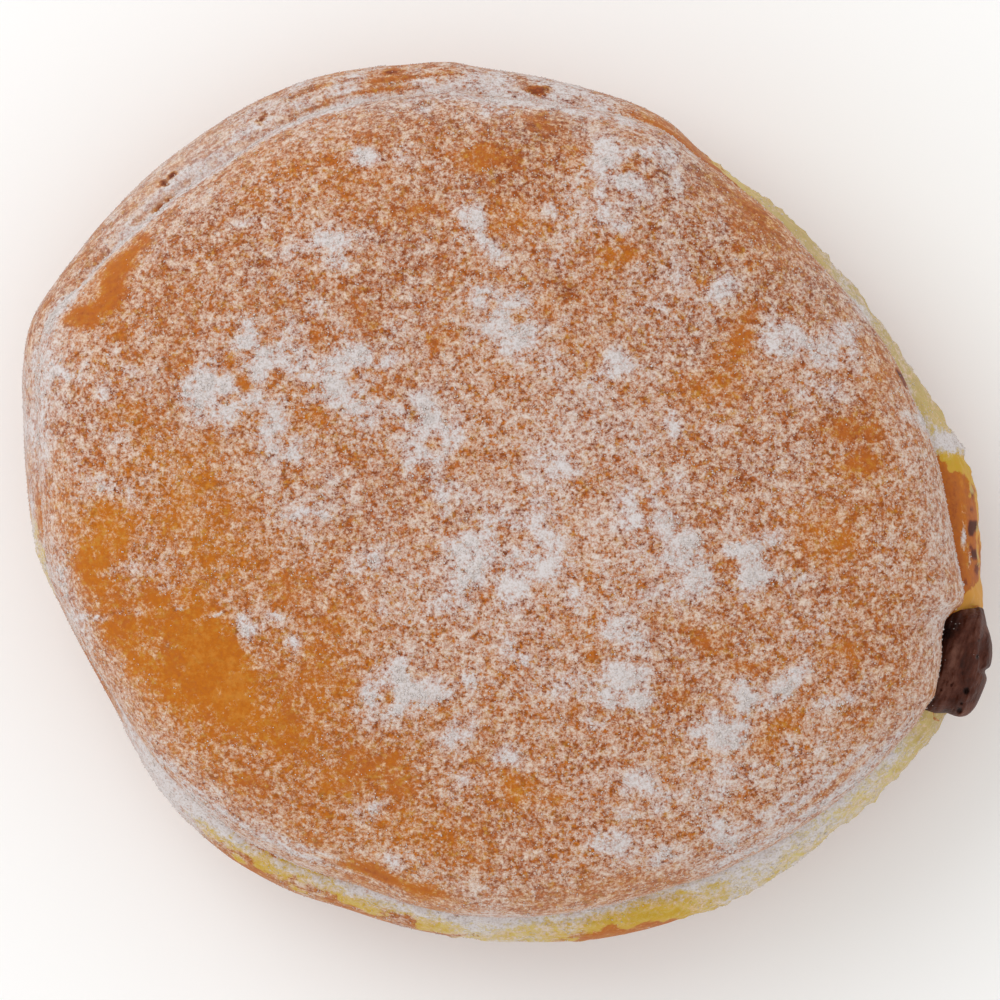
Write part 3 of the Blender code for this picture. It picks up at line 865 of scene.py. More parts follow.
@dataclass(frozen=True)
class FriedCrust:
    """Yeast dough fried in oil, so the crust is satin and mottled, with icing sugar sifted over it.

    The sugar is a dry white powder: where it is thin the crust shows between its clumps. Round
    the rim it was brushed along the edge, so there it lies in streaks. Its own grains, of some
    0.05 mm, are too fine to show, so the speckle is as coarse as the clumps that they form.
    """

    blond: str = "#BE7526"
    golden: str = "#B5650F"
    russet: str = "#AB5D24"
    deep: str = "#80391A"
    straw: str = "#BC8734"
    # painted shade: the crust darkened between the sugar's clumps, and faintly in pores of bare crust
    gap: str = "#65290E"
    burnt: str = "#4E1E0C"
    pale_crumb: str = "#CCBC80"
    # painted shade: the crumb's colour where it lies in shade, mixed in by brown
    shaded_crumb: str = "#AD9866"
    golden_crumb: str = "#C88E3E"
    yolk_crumb: str = "#C09A2E"
    thin_sugar: str = "#E4BB8E"
    thick_sugar: str = "#D1CAC9"
    dust_shade: str = "#A38971"
    grain_mm: float = 0.42
    flake_mm: float = 1.3
    mottle_mm: float = 0.8
    pore_mm: float = 0.5
    pit_mm: float = 0.36
    dust_mm: float = 0.2
    streak_mm: float = 0.55
    streak_length_mm: float = 3.0
    rim_radius_mm: float = 45.0
    relief_mm: float = 0.12
    ior: float = 1.45
    shine: float = 0.14
    satin: float = 0.55
    matt: float = 0.95

    def make(self) -> bpy.types.Material:
        """Build the material. It reads the coating's fields from the mesh."""
        material, tree, shader = new_material("fried_crust_with_icing_sugar")
        place = add_node(tree, "ShaderNodeTexCoord").outputs["Object"]
        parts: Parts = {"place": place}
        for name in ("sugar", "veil", "pale", "yolk", "brown", "streaky", "from_edge"):
            reader = add_node(tree, "ShaderNodeAttribute", {"attribute_name": name})
            parts[name] = reader.outputs["Fac"]
        for name, size, detail, roughness in (
            ("grains", self.grain_mm, 2.0, 0.85), ("flakes", self.flake_mm, 2.0, 0.75),
            ("mottle", self.mottle_mm, 4.0, 0.75), ("pores", self.pore_mm, 2.0, 0.6),
            ("pits", self.pit_mm, 1.0, 0.5), ("dust", self.dust_mm, 0.0, 0.5),
        ):
            parts[name] = add_node(
                tree, "ShaderNodeTexNoise",
                {"Scale": 1 / (size * MM), "Detail": detail, "Roughness": roughness}, {"Vector": place},
            )
        parts["varied"] = add_node(
            tree, "ShaderNodeSeparateColor", {}, {0: parts["mottle"].outputs["Color"]}
        )
        cover = parts["cover"] = self.sugar_cover(tree, parts)
        dough, powder = self.dough_colour(tree, parts), self.sugar_colour(tree, parts)
        colour = add_node(tree, "ShaderNodeMix", {"data_type": "RGBA"}, {0: cover, 6: dough, 7: powder})
        rough = add_node(
            tree, "ShaderNodeMapRange", {"To Min": self.satin, "To Max": self.matt}, {"Value": cover}
        )
        relief = add_node(
            tree, "ShaderNodeMath", {"operation": "MULTIPLY_ADD", 1: 0.3}, {0: parts["pores"], 2: cover}
        )
        bump = add_node(
            tree, "ShaderNodeBump", {"Strength": 0.6, "Distance": self.relief_mm * MM}, {"Height": relief}
        )
        wire(
            tree, shader, {"IOR": self.ior, "Specular IOR Level": self.shine},
            {"Base Color": colour.outputs[2], "Roughness": rough, "Normal": bump},
        )
        return material

    def sugar_colour(self, tree: Tree, parts: Parts) -> Socket:
        """Mix the powder's colour: warm where the crust shines through it, grey-white in heaps.

        Args:
            tree: the material's node tree.
            parts: what the finish is mixed from.

        Returns:
            The socket that gives the colour.
        """
        heaped = add_node(
            tree, "ShaderNodeMapRange", {"From Min": -0.2, "From Max": 0.62}, {"Value": parts["sugar"]}
        )
        powder = add_node(
            tree, "ShaderNodeMix",
            {"data_type": "RGBA", 6: linear(self.thin_sugar), 7: linear(self.thick_sugar)}, {0: heaped},
        )
        shaded = add_node(
            tree, "ShaderNodeMapRange", {"From Min": 0.45, "From Max": 0.7, "To Max": 0.32},
            {"Value": parts["dust"]},
        )
        powder = add_node(
            tree, "ShaderNodeMix", {"data_type": "RGBA", 7: linear(self.dust_shade)},
            {0: shaded, 6: powder.outputs[2]},
        )
        return powder.outputs[2]

    def dough_colour(self, tree: Tree, parts: Parts) -> Socket:
        """Mix the bare dough's colour from its crust and the crumb that shows at the sides.

        Args:
            tree: the material's node tree.
            parts: what the finish is mixed from.

        Returns:
            The socket that gives the colour.
        """
        torn = add_node(
            tree, "ShaderNodeMath", {"operation": "MULTIPLY_ADD", 1: 1.6},
            {0: parts["mottle"], 2: parts["pale"]},
        )
        shows = add_node(
            tree, "ShaderNodeMapRange", {"From Min": 1.15, "From Max": 1.45}, {"Value": torn}
        )
        dough = add_node(
            tree, "ShaderNodeMix", {"data_type": "RGBA"},
            {0: shows, 6: self.crust_colour(tree, parts), 7: self.crumb_colour(tree, parts)},
        )
        return dough.outputs[2]

    def crust_colour(self, tree: Tree, parts: Parts) -> Socket:
        """Colour the crust by its browning: straw in places, burnt in spots, and painted shade in the
        gaps between sugar clumps, which leaves faint dark pores on bare crust.

        Args:
            tree: the material's node tree.
            parts: what the finish is mixed from.

        Returns:
            The socket that gives the colour.
        """
        browning = add_node(
            tree, "ShaderNodeMath", {"operation": "MULTIPLY_ADD", 1: 1.9},
            {0: parts["varied"].outputs["Red"], 2: parts["brown"]},
        )
        depth, charring = (
            add_node(tree, "ShaderNodeMapRange", {"From Min": low, "From Max": high}, {"Value": browning})
            for low, high in ((0.9, 2.4), (2.2, 3.0))
        )
        shade = add_node(tree, "ShaderNodeValToRGB", {}, {0: depth})
        golden, russet = shade.color_ramp.elements
        golden.position, golden.color = 0.22, linear(self.golden)
        russet.position, russet.color = 0.6, linear(self.russet)
        for position, hex_code in ((0.0, self.blond), (1.0, self.deep)):
            shade.color_ramp.elements.new(position).color = linear(hex_code)
        straw = self.overlap(
            tree,
            (parts["varied"].outputs["Green"], {"From Min": 0.5, "From Max": 0.68, "To Max": 0.85}),
            (parts["sugar"], {"From Min": -0.7, "From Max": -0.1, "To Min": 0.2}),
        )
        # painted shade in the pits between sugar clumps where little sugar covers them; a tenth of it
        # stays on bare crust as dark pores
        gap_shade_and_pores = self.overlap(
            tree,
            (parts["sugar"], {"From Min": -0.1, "From Max": 0.6, "To Min": 0.1}),
            (parts["pits"], {"From Min": 0.4, "From Max": 0.6, "To Max": 0.95}),
            (parts["cover"], {"From Min": 0.55, "From Max": 0.1}),
        )
        crust = shade.outputs["Color"]
        for share, hex_code in ((straw, self.straw), (gap_shade_and_pores, self.gap), (charring, self.burnt)):
            crust = add_node(
                tree, "ShaderNodeMix", {"data_type": "RGBA", 7: linear(hex_code)}, {0: share, 6: crust}
            ).outputs[2]
        return crust

    @staticmethod
    def overlap(tree: Tree, *conditions: tuple[Node | Socket, dict]) -> Node:
        """Work out how far several conditions hold together.

        Args:
            tree: the material's node tree.
            conditions: what each one is read from, and the range over which it sets in.

        Returns:
            The node that gives the share, from 0 to 1.
        """
        share, *others = (
            add_node(tree, "ShaderNodeMapRange", settings, {"Value": source})
            for source, settings in conditions
        )
        for other in others:
            share = add_node(tree, "ShaderNodeMath", {"operation": "MULTIPLY"}, {0: share, 1: other})
        return share

    def crumb_colour(self, tree: Tree, parts: Parts) -> Socket:
        """Colour the crumb: pale, yolk yellow, golden where it was fried, and dulled by painted shade.

        Args:
            tree: the material's node tree.
            parts: what the finish is mixed from.

        Returns:
            The socket that gives the colour.
        """
        yellow = add_node(
            tree, "ShaderNodeMath", {"operation": "MULTIPLY_ADD", 1: 2.4},
            {0: parts["varied"].outputs["Blue"], 2: parts["yolk"]},
        )
        layer_below = {}
        for hex_code, source, settings in (
            (self.yolk_crumb, yellow, {"From Min": 1.2, "From Max": 2.2}),
            (self.golden_crumb, yellow, {"From Min": 2.3, "From Max": 3.1}),
            # painted shade: duller crumb where brown is high
            (self.shaded_crumb, parts["brown"], {"From Min": 0.85, "From Max": 1.25, "To Max": 0.8}),
        ):
            share = add_node(tree, "ShaderNodeMapRange", settings, {"Value": source})
            crumb = add_node(
                tree, "ShaderNodeMix",
                {"data_type": "RGBA", 6: linear(self.pale_crumb), 7: linear(hex_code)},
                {0: share, **layer_below},
            )
            layer_below = {6: crumb.outputs[2]}
        return crumb.outputs[2]

    def sugar_cover(self, tree: Tree, parts: Parts) -> Socket:
        """Work out how fully the sugar hides the dough.

        Args:
            tree: the material's node tree.
            parts: what the finish is mixed from.

        Returns:
            The socket that gives the cover, from 0 to 1.
        """
        layer = parts["sugar"]
        for texture, strength in (("grains", 3.1), ("flakes", 2.0)):
            layer = add_node(
                tree, "ShaderNodeMath", {"operation": "MULTIPLY_ADD", 1: strength},
                {0: parts[texture], 2: layer},
            )
        layer = add_node(
            tree, "ShaderNodeMath", {"operation": "MULTIPLY_ADD"},
            {0: self.rim_streaks(tree, parts), 1: parts["streaky"], 2: layer},
        )
        speckled = add_node(
            tree, "ShaderNodeMapRange",
            {"interpolation_type": "SMOOTHSTEP", "From Min": 2.3, "From Max": 3.7}, {"Value": layer},
        )
        cover = add_node(
            tree, "ShaderNodeMix", {"data_type": "FLOAT", 3: 1.0}, {0: parts["veil"], 2: speckled}
        )
        return cover.outputs[0]

    def rim_streaks(self, tree: Tree, parts: Parts) -> Node:
        """Draw out a noise along the rim, for the sugar that was brushed along it.

        Args:
            tree: the material's node tree.
            parts: what the finish is mixed from.

        Returns:
            The node that gives a value from -0.9 to 0.9.
        """
        outward = add_node(
            tree, "ShaderNodeVectorMath", {"operation": "MULTIPLY", 1: (1.0, 1.0, 0.0)},
            {0: parts["place"]},
        )
        direction = add_node(tree, "ShaderNodeVectorMath", {"operation": "NORMALIZE"}, {0: outward})
        around = add_node(
            tree, "ShaderNodeVectorMath",
            {"operation": "SCALE", "Scale": self.rim_radius_mm / self.streak_length_mm}, {0: direction},
        )
        down = add_node(
            tree, "ShaderNodeMath", {"operation": "DIVIDE", 1: self.streak_mm}, {0: parts["from_edge"]}
        )
        step = add_node(tree, "ShaderNodeCombineXYZ", {}, {2: down})
        along_rim = add_node(tree, "ShaderNodeVectorMath", {"operation": "ADD"}, {0: around, 1: step})
        streaks = add_node(
            tree, "ShaderNodeTexNoise", {"Scale": 1.0, "Detail": 2.0, "Roughness": 0.6},
            {"Vector": along_rim},
        )
        return add_node(
            tree, "ShaderNodeMath", {"operation": "MULTIPLY_ADD", 1: 1.8, 2: -0.9}, {0: streaks}
        )


@dataclass(frozen=True)
class IcingSugar:
    """Ground sugar that has clumped: dry, dead matt and a little off white."""

    colour: str = "#D6CECA"
    dull: str = "#C2B8B2"
    roughness: float = 0.95
    shine: float = 0.2
    clump_mm: float = 0.3

    def make(self) -> bpy.types.Material:
        """Build the material."""
        material, tree, shader = new_material("icing_sugar")
        place = add_node(tree, "ShaderNodeTexCoord").outputs["Object"]
        powder = add_node(
            tree, "ShaderNodeTexNoise", {"Scale": 1 / (self.clump_mm * MM), "Detail": 2.0},
            {"Vector": place},
        )
        shade = add_node(tree, "ShaderNodeValToRGB", {}, {0: powder})
        dull, bright = shade.color_ramp.elements
        dull.position, dull.color = 0.3, linear(self.dull)
        bright.position, bright.color = 0.7, linear(self.colour)
        wire(
            tree, shader, {"Roughness": self.roughness, "Specular IOR Level": self.shine},
            {"Base Color": shade},
        )
        return material


@dataclass(frozen=True)
class ChocolateCream:
    """Boiled cocoa custard pressed from a nozzle: smooth, dense and satin, with light and shade painted
    in.
    """

    cocoa: str = "#4B2214"
    # painted shade: the colour of the pits, the furrows and the cream under the crust's edge
    dark: str = "#1E0A05"
    # painted highlight: the colour of raised ridges and of a streaky lit spot
    painted_highlight: str = "#7A5142"
    ior: float = 1.45
    shine: float = 0.22
    roughness: float = 0.5
    swirl_mm: float = 2.2
    grain_mm: float = 0.35
    relief_mm: float = 0.25

    def make(self) -> bpy.types.Material:
        """Build the material."""
        material, tree, shader = new_material("chocolate_cream")
        place = add_node(tree, "ShaderNodeTexCoord").outputs["Object"]
        swirl, grain = (
            add_node(
                tree, "ShaderNodeTexNoise",
                {"Scale": 1 / (size * MM), "Detail": detail, "Roughness": 0.6}, {"Vector": place},
            )
            for size, detail in ((self.swirl_mm, 4.0), (self.grain_mm, 3.0))
        )
        # tone is painted light: highlights on ridges and a lit spot, painted shade in pits, furrows and
        # under the crust's edge
        tone = add_node(tree, "ShaderNodeAttribute", {"attribute_name": "tone"}).outputs["Fac"]
        swirl_and_painted_light = add_node(
            tree, "ShaderNodeMath", {"operation": "MULTIPLY_ADD", 1: 0.35}, {0: tone, 2: swirl}
        )
        shade = add_node(tree, "ShaderNodeValToRGB", {}, {0: swirl_and_painted_light})
        dark, painted_highlight = shade.color_ramp.elements
        dark.position, dark.color = 0.2, linear(self.dark)
        painted_highlight.position, painted_highlight.color = 0.85, linear(self.painted_highlight)
        shade.color_ramp.elements.new(0.5).color = linear(self.cocoa)
        rough = add_node(
            tree, "ShaderNodeMapRange",
            {"To Min": self.roughness - 0.1, "To Max": self.roughness + 0.2}, {"Value": swirl},
        )
        bump = add_node(
            tree, "ShaderNodeBump", {"Strength": 0.7, "Distance": self.relief_mm * MM}, {"Height": grain}
        )
        wire(
            tree, shader, {"IOR": self.ior, "Specular IOR Level": self.shine},
            {"Base Color": shade, "Roughness": rough, "Normal": bump},
        )
        return material


# ---------------------------------------------------------------- the dough


@dataclass
class Dough:
    """The doughnut's body: its mesh with the sugar's relief, and its crust.

    The bare surface is sunk a little below the solid's, so that the sugar and the crust's
    relief stand up to it. Sizes are in millimetres.
    """

    shape: DoughShape = field(default_factory=DoughShape)
    columns: int = 640
    rings: dict = field(
        default_factory=lambda: {Zone.TOP: 92, Zone.ROLL: 8, Zone.COLLAR: 22, Zone.LOWER: 24}
    )
    sunk: float = 0.10
    margin: float = 0.01
    sugar_height: float = 0.12
    crumb_height: float = 0.3
    crust_height: float = 0.07
    grid: DoughGrid = field(init=False)
    fields: dict[str, np.ndarray] = field(init=False)
    shift: np.ndarray = field(init=False)
    low: np.ndarray = field(init=False)
    high: np.ndarray = field(init=False)

    def build(self, cream: "Cream") -> bpy.types.Object:
        """Build the dough, leave room for the cream in it and dress it.

        Args:
            cream: the filling.

        Returns:
            The finished piece.
        """
        self.grid = DoughGrid.sample(self.shape, self.columns, self.rings)
        low, high = (np.array(corner) / MM for corner in CAD_BOX)
        dough_low, dough_high = (np.array(corner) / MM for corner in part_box("dough"))
        flat = self.grid.points.reshape(-1, 3)
        self.shift = (dough_low + dough_high) / 2 - (flat.min(axis=0) + flat.max(axis=0)) / 2
        self.shift[2] = 0.0
        self.low, self.high = low - self.shift, high - self.shift
        self.fields = Coating(self.shape).fields(self.grid)
        self.raise_relief()
        piece = self.body()
        piece.data.materials.append(FriedCrust().make())
        cream.cut_room(piece, self.shift)
        return piece

    def raise_relief(self) -> None:
        """Lift the surface where sugar lies thickly and roughen it where the crumb shows."""
        flat = self.grid.points.reshape(-1, 3)
        normals = self.grid.normals().reshape(-1, 3)
        lumps = noise(flat, 1.3, 71, 2)
        thick = smoothstep(0.35, 1.5, self.fields["sugar"] + 0.4 * lumps)
        crumb = self.fields["pale"] * noise(flat, 1.1, 83, 2)
        crust = noise(flat, 6.0, 89, 3)
        lift = self.sugar_height * thick + self.crumb_height * crumb + self.crust_height * crust
        resting = smoothstep(0.0, 2.0, flat[:, 2])
        moved = flat + normals * ((lift - self.sunk) * resting)[:, None]
        moved = np.clip(moved, self.low + self.margin, self.high - self.margin)
        self.grid.points = moved.reshape(self.grid.points.shape)

    def body(self) -> bpy.types.Object:
        """Make the closed mesh, with one attribute for each field of the coating."""
        rows, columns, _ = self.grid.points.shape
        flat = self.grid.points.reshape(-1, 3)
        top = flat[:columns].mean(axis=0) + np.array((0.0, 0.0, 0.02))
        vertices = np.vstack((flat, top)) + self.shift
        index = np.arange(rows * columns).reshape(rows, columns)
        faces = ring_faces(index)
        pole = rows * columns
        faces += [(first, second, pole) for first, second in zip(index[0], np.roll(index[0], -1))]
        faces.append(tuple(index[-1][::-1]))
        values = {name: np.append(kept, kept[:columns].mean()) for name, kept in self.fields.items()}
        return new_piece("sugared_dough", vertices, faces, values)


def ring_faces(index: np.ndarray) -> list[tuple[int, ...]]:
    """Return the four-sided faces between rings of vertices.

    Args:
        index: the vertex numbers, one row for each ring.

    Returns:
        The faces, facing out where the rings run down and round to the left.
    """
    after = np.roll(index, -1, axis=1)
    quads = np.stack((index[:-1], index[1:], after[1:], after[:-1]), axis=-1).reshape(-1, 4)
    return [tuple(quad) for quad in quads.tolist()]


# ---------------------------------------------------------------- the cream


@dataclass(frozen=True)
class Swelling:
    """One swelling of the cream along the line from the doughnut's middle to the hole."""

    middle: float
    half_length: float
    half_width: float
    half_height: float
    squareness: float = 2.0

    def share(self, distance: np.ndarray) -> np.ndarray:
        """Return how much of its full width the swelling has at each distance, 0 outside it."""
        reach = np.clip(np.abs(distance - self.middle) / self.half_length, 0.0, 1.0)
        return (1.0 - reach**self.squareness) ** (1.0 / self.squareness)


@dataclass(frozen=True)
class Slice:
    """A slice across the cream that came out of the hole, with its reach to each side."""

    distance: float
    right: float
    left: float
    below: float
    above: float


@dataclass(frozen=True)
class Pit:
    """A small pit in the cream, where a bubble burst, by its place along and across the lump."""

    along: float
    across: float
    radius: float
    depth: float


@dataclass
class Cream:
    """Chocolate cream in its pocket and neck, and the lump of it that came out at the side.

    Sizes are in millimetres. Along runs out from the doughnut's middle through the hole, and
    across runs to the left of it. Tone is painted light: lighter on raised ridges and in a
    streaky painted highlight, and darker with painted shade in furrows, in its pits and under
    the crust's edge. The fold lies at its place along the lump and slants as it goes across.
    The rolled lip's line is a row of distances along and a row of places across.
    """

    hole_angle: float = math.radians(341)
    height: float = 17.6
    blob_rise: float = 1.2
    blend: float = 5.0
    gap: float = 0.3
    columns: int = 220
    slices_between: int = 13
    squareness: float = 3.2
    pocket: Swelling = Swelling(2.0, 21.0, 19.0, 6.5)
    neck: Swelling = Swelling(24.0, 25.0, 3.6, 3.0, 8.0)
    blob: Swelling = Swelling(46.9, 3.4, 5.5, 4.4, 3.0)
    slices: tuple[Slice, ...] = (
        Slice(41.6, -3.6, 3.6, -3.0, 3.0), Slice(43.2, -4.2, 4.4, -3.2, 3.7),
        Slice(44.0, -5.2, 5.2, -3.7, 4.2), Slice(44.9, -5.75, 5.3, -4.1, 4.3),
        Slice(46.0, -5.6, 5.35, -4.3, 4.4), Slice(47.0, -5.2, 5.6, -4.4, 4.4),
        Slice(47.65, -4.95, 5.8, -4.35, 4.35), Slice(48.1, -4.95, 5.2, -4.3, 4.2),
        Slice(48.6, -4.95, 4.4, -4.2, 4.05), Slice(49.1, -4.85, 3.7, -4.0, 3.7),
        Slice(49.6, -4.5, 2.9, -3.7, 3.1), Slice(49.95, -3.9, 2.1, -3.1, 2.4),
        Slice(50.15, -3.2, 1.1, -2.3, 1.6), Slice(50.25, -2.2, 0.2, -1.2, 0.7),
        Slice(50.3, -1.4, -0.6, -0.4, 0.1),
    )
    pits: tuple[Pit, ...] = (
        Pit(48.72, -2.3, 0.30, 0.6), Pit(48.80, -4.3, 0.30, 0.6), Pit(48.76, 1.2, 0.24, 0.5),
        Pit(48.35, 2.7, 0.14, 0.3), Pit(47.2, -2.2, 0.14, 0.25), Pit(46.8, 0.4, 0.12, 0.2),
        Pit(47.9, -0.8, 0.12, 0.2), Pit(46.4, -3.0, 0.16, 0.25), Pit(48.75, -3.6, 0.14, 0.3),
    )
    fold_place: float = 49.3
    fold_slant: float = 0.27
    fold_depth: float = 1.2
    lip_line: tuple = ((46.0, 47.1, 48.8, 49.7), (-3.9, -3.5, -2.65, -1.2))
    ridge_depth: float = 0.3
    notch_depth: float = 0.4
    lumpiness: float = 0.2
    points: np.ndarray = field(init=False)
    tone: np.ndarray = field(init=False)

    def build(self, shift: np.ndarray) -> bpy.types.Object:
        """Build the cream and dress it.

        Args:
            shift: from the doughnut's own place to its place in the frame, in millimetres.

        Returns:
            The finished piece.
        """
        inner = self.blended_slices(np.linspace(0.02, 1.0, 40))
        inner = inner[inner[:, 0] < self.slices[0].distance - self.gap]
        outer = self.smooth_slices()
        self.points = self.rings(np.vstack((inner, outer)))
        self.sculpt()
        rows, columns, _ = self.points.shape
        index = np.arange(rows * columns).reshape(rows, columns)
        faces = ring_faces(index)
        ends = self.points[0].mean(0), self.points[-1].mean(0)
        vertices = np.vstack((self.points.reshape(-1, 3), *ends))
        tips = rows * columns, rows * columns + 1
        after = np.roll(index, -1, axis=1)
        faces += [(first, second, tips[0]) for first, second in zip(index[0], after[0])]
        faces += [(second, first, tips[1]) for first, second in zip(index[-1], after[-1])]
        tone = np.append(self.tone, (0.0, 0.0))
        piece = new_piece("chocolate_cream", vertices + shift, faces, {"tone": tone})
        piece.data.materials.append(ChocolateCream().make())
        return piece

    def blended_slices(self, ways: np.ndarray, margin: float = 0.0) -> np.ndarray:
        """Slice the blended swellings of the cream.

        Args:
            ways: how far along the cream each slice lies, from 0 to 1.
            margin: how much larger the cream is all round.

        Returns:
            A row for each slice: its distance and its reach right, left, down and up.
        """
        parts = [
            Swelling(part.middle, part.half_length + margin, part.half_width + margin,
                     part.half_height + margin, part.squareness)
            for part in (self.pocket, self.neck, self.blob)
        ]
        start = parts[0].middle - parts[0].half_length
        end = parts[2].middle + parts[2].half_length
        distance = (start + end) / 2 - (end - start) / 2 * np.cos(math.pi * ways)
        width = sum((part.half_width * part.share(distance)) ** self.blend for part in parts)
        height = sum((part.half_height * part.share(distance)) ** self.blend for part in parts)
        width, height = width ** (1 / self.blend), height ** (1 / self.blend)
        return np.column_stack((distance, -width, width, -height, height))

    def smooth_slices(self) -> np.ndarray:
        """Return the lump's slices with smooth ones between them, as rows of five sizes."""
        rows = np.array([
            (part.distance, part.right, part.left, part.below, part.above) for part in self.slices
        ])
        padded = np.vstack((2 * rows[0] - rows[1], rows, 2 * rows[-1] - rows[-2]))
        ways = np.linspace(0.0, 1.0, self.slices_between, endpoint=False)[:, None]
        smooth = []
        for before, start, end, after in zip(padded, padded[1:], padded[2:], padded[3:]):
            smooth.append(
                start + ways * (end - before) / 2
                + ways**2 * (before - 2.5 * start + 2 * end - after / 2)
                + ways**3 * ((after - before) / 2 + 1.5 * (start - end))
            )
        return np.vstack(smooth + [rows[-1:]])

    def rings(self, slices: np.ndarray, round_shape: bool = False) -> np.ndarray:
        """Turn slices into rings of points.

        Args:
            slices: rows of distance and reach right, left, down and up.
            round_shape: whether every ring is a plain ellipse.

        Returns:
            Rings of points in millimetres, going round to the left as seen from outside.
        """
        turns = np.linspace(0.0, 2 * math.pi, self.columns, endpoint=False)
        distance, right, left, below, above = (slices[:, [column]] for column in range(5))
        out = smoothstep(41.0, 45.0, distance)
        power = 1.0 if round_shape else 1 + (2 / self.squareness - 1) * out
        sideways = np.sign(np.cos(turns)) * np.abs(np.cos(turns)) ** power
        upward = np.sign(np.sin(turns)) * np.abs(np.sin(turns)) ** power
        across = (left + right) / 2 + (left - right) / 2 * sideways
        middle = (above + below) / 2
        rise = middle + (above - below) / 2 * upward
        way = smoothstep(self.pocket.middle, self.blob.middle, distance)
        along = np.broadcast_to(distance, across.shape)
        x = along * math.cos(self.hole_angle) - across * math.sin(self.hole_angle)
        y = along * math.sin(self.hole_angle) + across * math.cos(self.hole_angle)
        return np.stack((x, y, self.height + self.blob_rise * way + rise), axis=-1)

    def sculpt(self) -> None:
        """Work the folds, the side lobe, the rolled lip and the pits into the lump, and paint light and
        shade into its tone.
        """
        flat = self.points.reshape(-1, 3)
        x, y = flat[:, 0], flat[:, 1]
        along = x * math.cos(self.hole_angle) + y * math.sin(self.hole_angle)
        across = y * math.cos(self.hole_angle) - x * math.sin(self.hole_angle)
        axis = self.height + self.blob_rise
        upper = smoothstep(0.0, 1.6, flat[:, 2] - axis) * smoothstep(43.0, 44.5, along)
        beyond_fold = along - (self.fold_place - self.fold_slant * across)
        lobe = smoothstep(-0.3, 0.6, across)
        dip = self.fold_depth * smoothstep(-0.2, 0.5, beyond_fold) * lobe
        dip += 0.4 * lobe * np.exp(-((beyond_fold - 0.1) / 0.2) ** 2)
        dip -= 0.55 * lobe * np.exp(-((beyond_fold - 0.75) / 0.3) ** 2)
        dip += 0.9 * smoothstep(45.8, 44.2, along)
        lip = across - np.interp(along, *self.lip_line)
        dip += 0.08 * np.exp(-(lip / 0.3) ** 2) * smoothstep(46.3, 47.3, along)
        dip -= 0.08 * np.exp(-((lip + 0.75) / 0.5) ** 2)
        pressed = np.column_stack((along / 0.6, across / 2.2, flat[:, 2] / 3.0))
        ridges = noise(pressed, 1.0, 131, 3)
        dip -= self.ridge_depth * ridges
        # painted shade in the pits, taken off the tone
        pitted = np.zeros(len(flat))
        for pit in self.pits:
            reach = np.hypot(along - pit.along, across - pit.across) / pit.radius
            dip += pit.depth * np.exp(-reach**2)
            pitted += 2 * pit.depth * np.exp(-(reach**4))
        # painted highlight: a streaky lit spot on the main roll
        highlight_spot = 0.5 * np.exp(-((along - 47.0) / 0.7) ** 2 - ((across + 0.4) / 1.6) ** 2)
        # painted shadow along the side that lies under the crust's overhanging edge
        shaded = 0.5 * smoothstep(46.2, 45.0, along)
        painted_highlight = highlight_spot * (0.3 + 1.2 * noise(pressed * 2.0, 1.0, 151, 2))
        # the tone paints light: raised ridges lighter, furrows darker, plus the highlight, the pits'
        # shade and the shadow
        self.tone = 0.2 * ridges + painted_highlight - pitted - shaded
        flat[:, 2] -= dip * upper
        notch = self.notch_depth * np.exp(-((across - 0.1) / 0.4) ** 2)
        notch *= smoothstep(49.0, 49.9, along)
        lumpy = self.lumpiness * noise(flat, 1.8, 137, 3) * smoothstep(44.0, 46.5, along)
        inward = notch - np.minimum(lumpy, 0.0)
        flat[:, 0] -= inward * math.cos(self.hole_angle)
        flat[:, 1] -= inward * math.sin(self.hole_angle)
        self.points = flat.reshape(self.points.shape)

    def cut_room(self, piece: bpy.types.Object, shift: np.ndarray) -> None:
        """Cut the room that the cream fills out of a piece, with a thin gap all round.

        Args:
            piece: the dough.
            shift: from the doughnut's own place to its place in the frame, in millimetres.
        """
        slices = self.blended_slices(np.linspace(0.0, 1.0, 62)[1:-1], self.gap)
        points = self.rings(slices, round_shape=True)[:, ::4]
        rows, columns, _ = points.shape
        index = np.arange(rows * columns).reshape(rows, columns)
        faces = ring_faces(index) + [tuple(index[0]), tuple(index[-1][::-1])]
        room = new_piece("cream_room", points.reshape(-1, 3) + shift, faces)
        boolean = piece.modifiers.new("room", "BOOLEAN")
        boolean.operation = "DIFFERENCE"
        boolean.solver = "EXACT"
        boolean.object = room
        graph = bpy.context.evaluated_depsgraph_get()
        cut = bpy.data.meshes.new_from_object(piece.evaluated_get(graph))
        piece.modifiers.clear()
        piece.data = cut
        bpy.data.objects.remove(room)


# ---------------------------------------------------------------- loose sugar


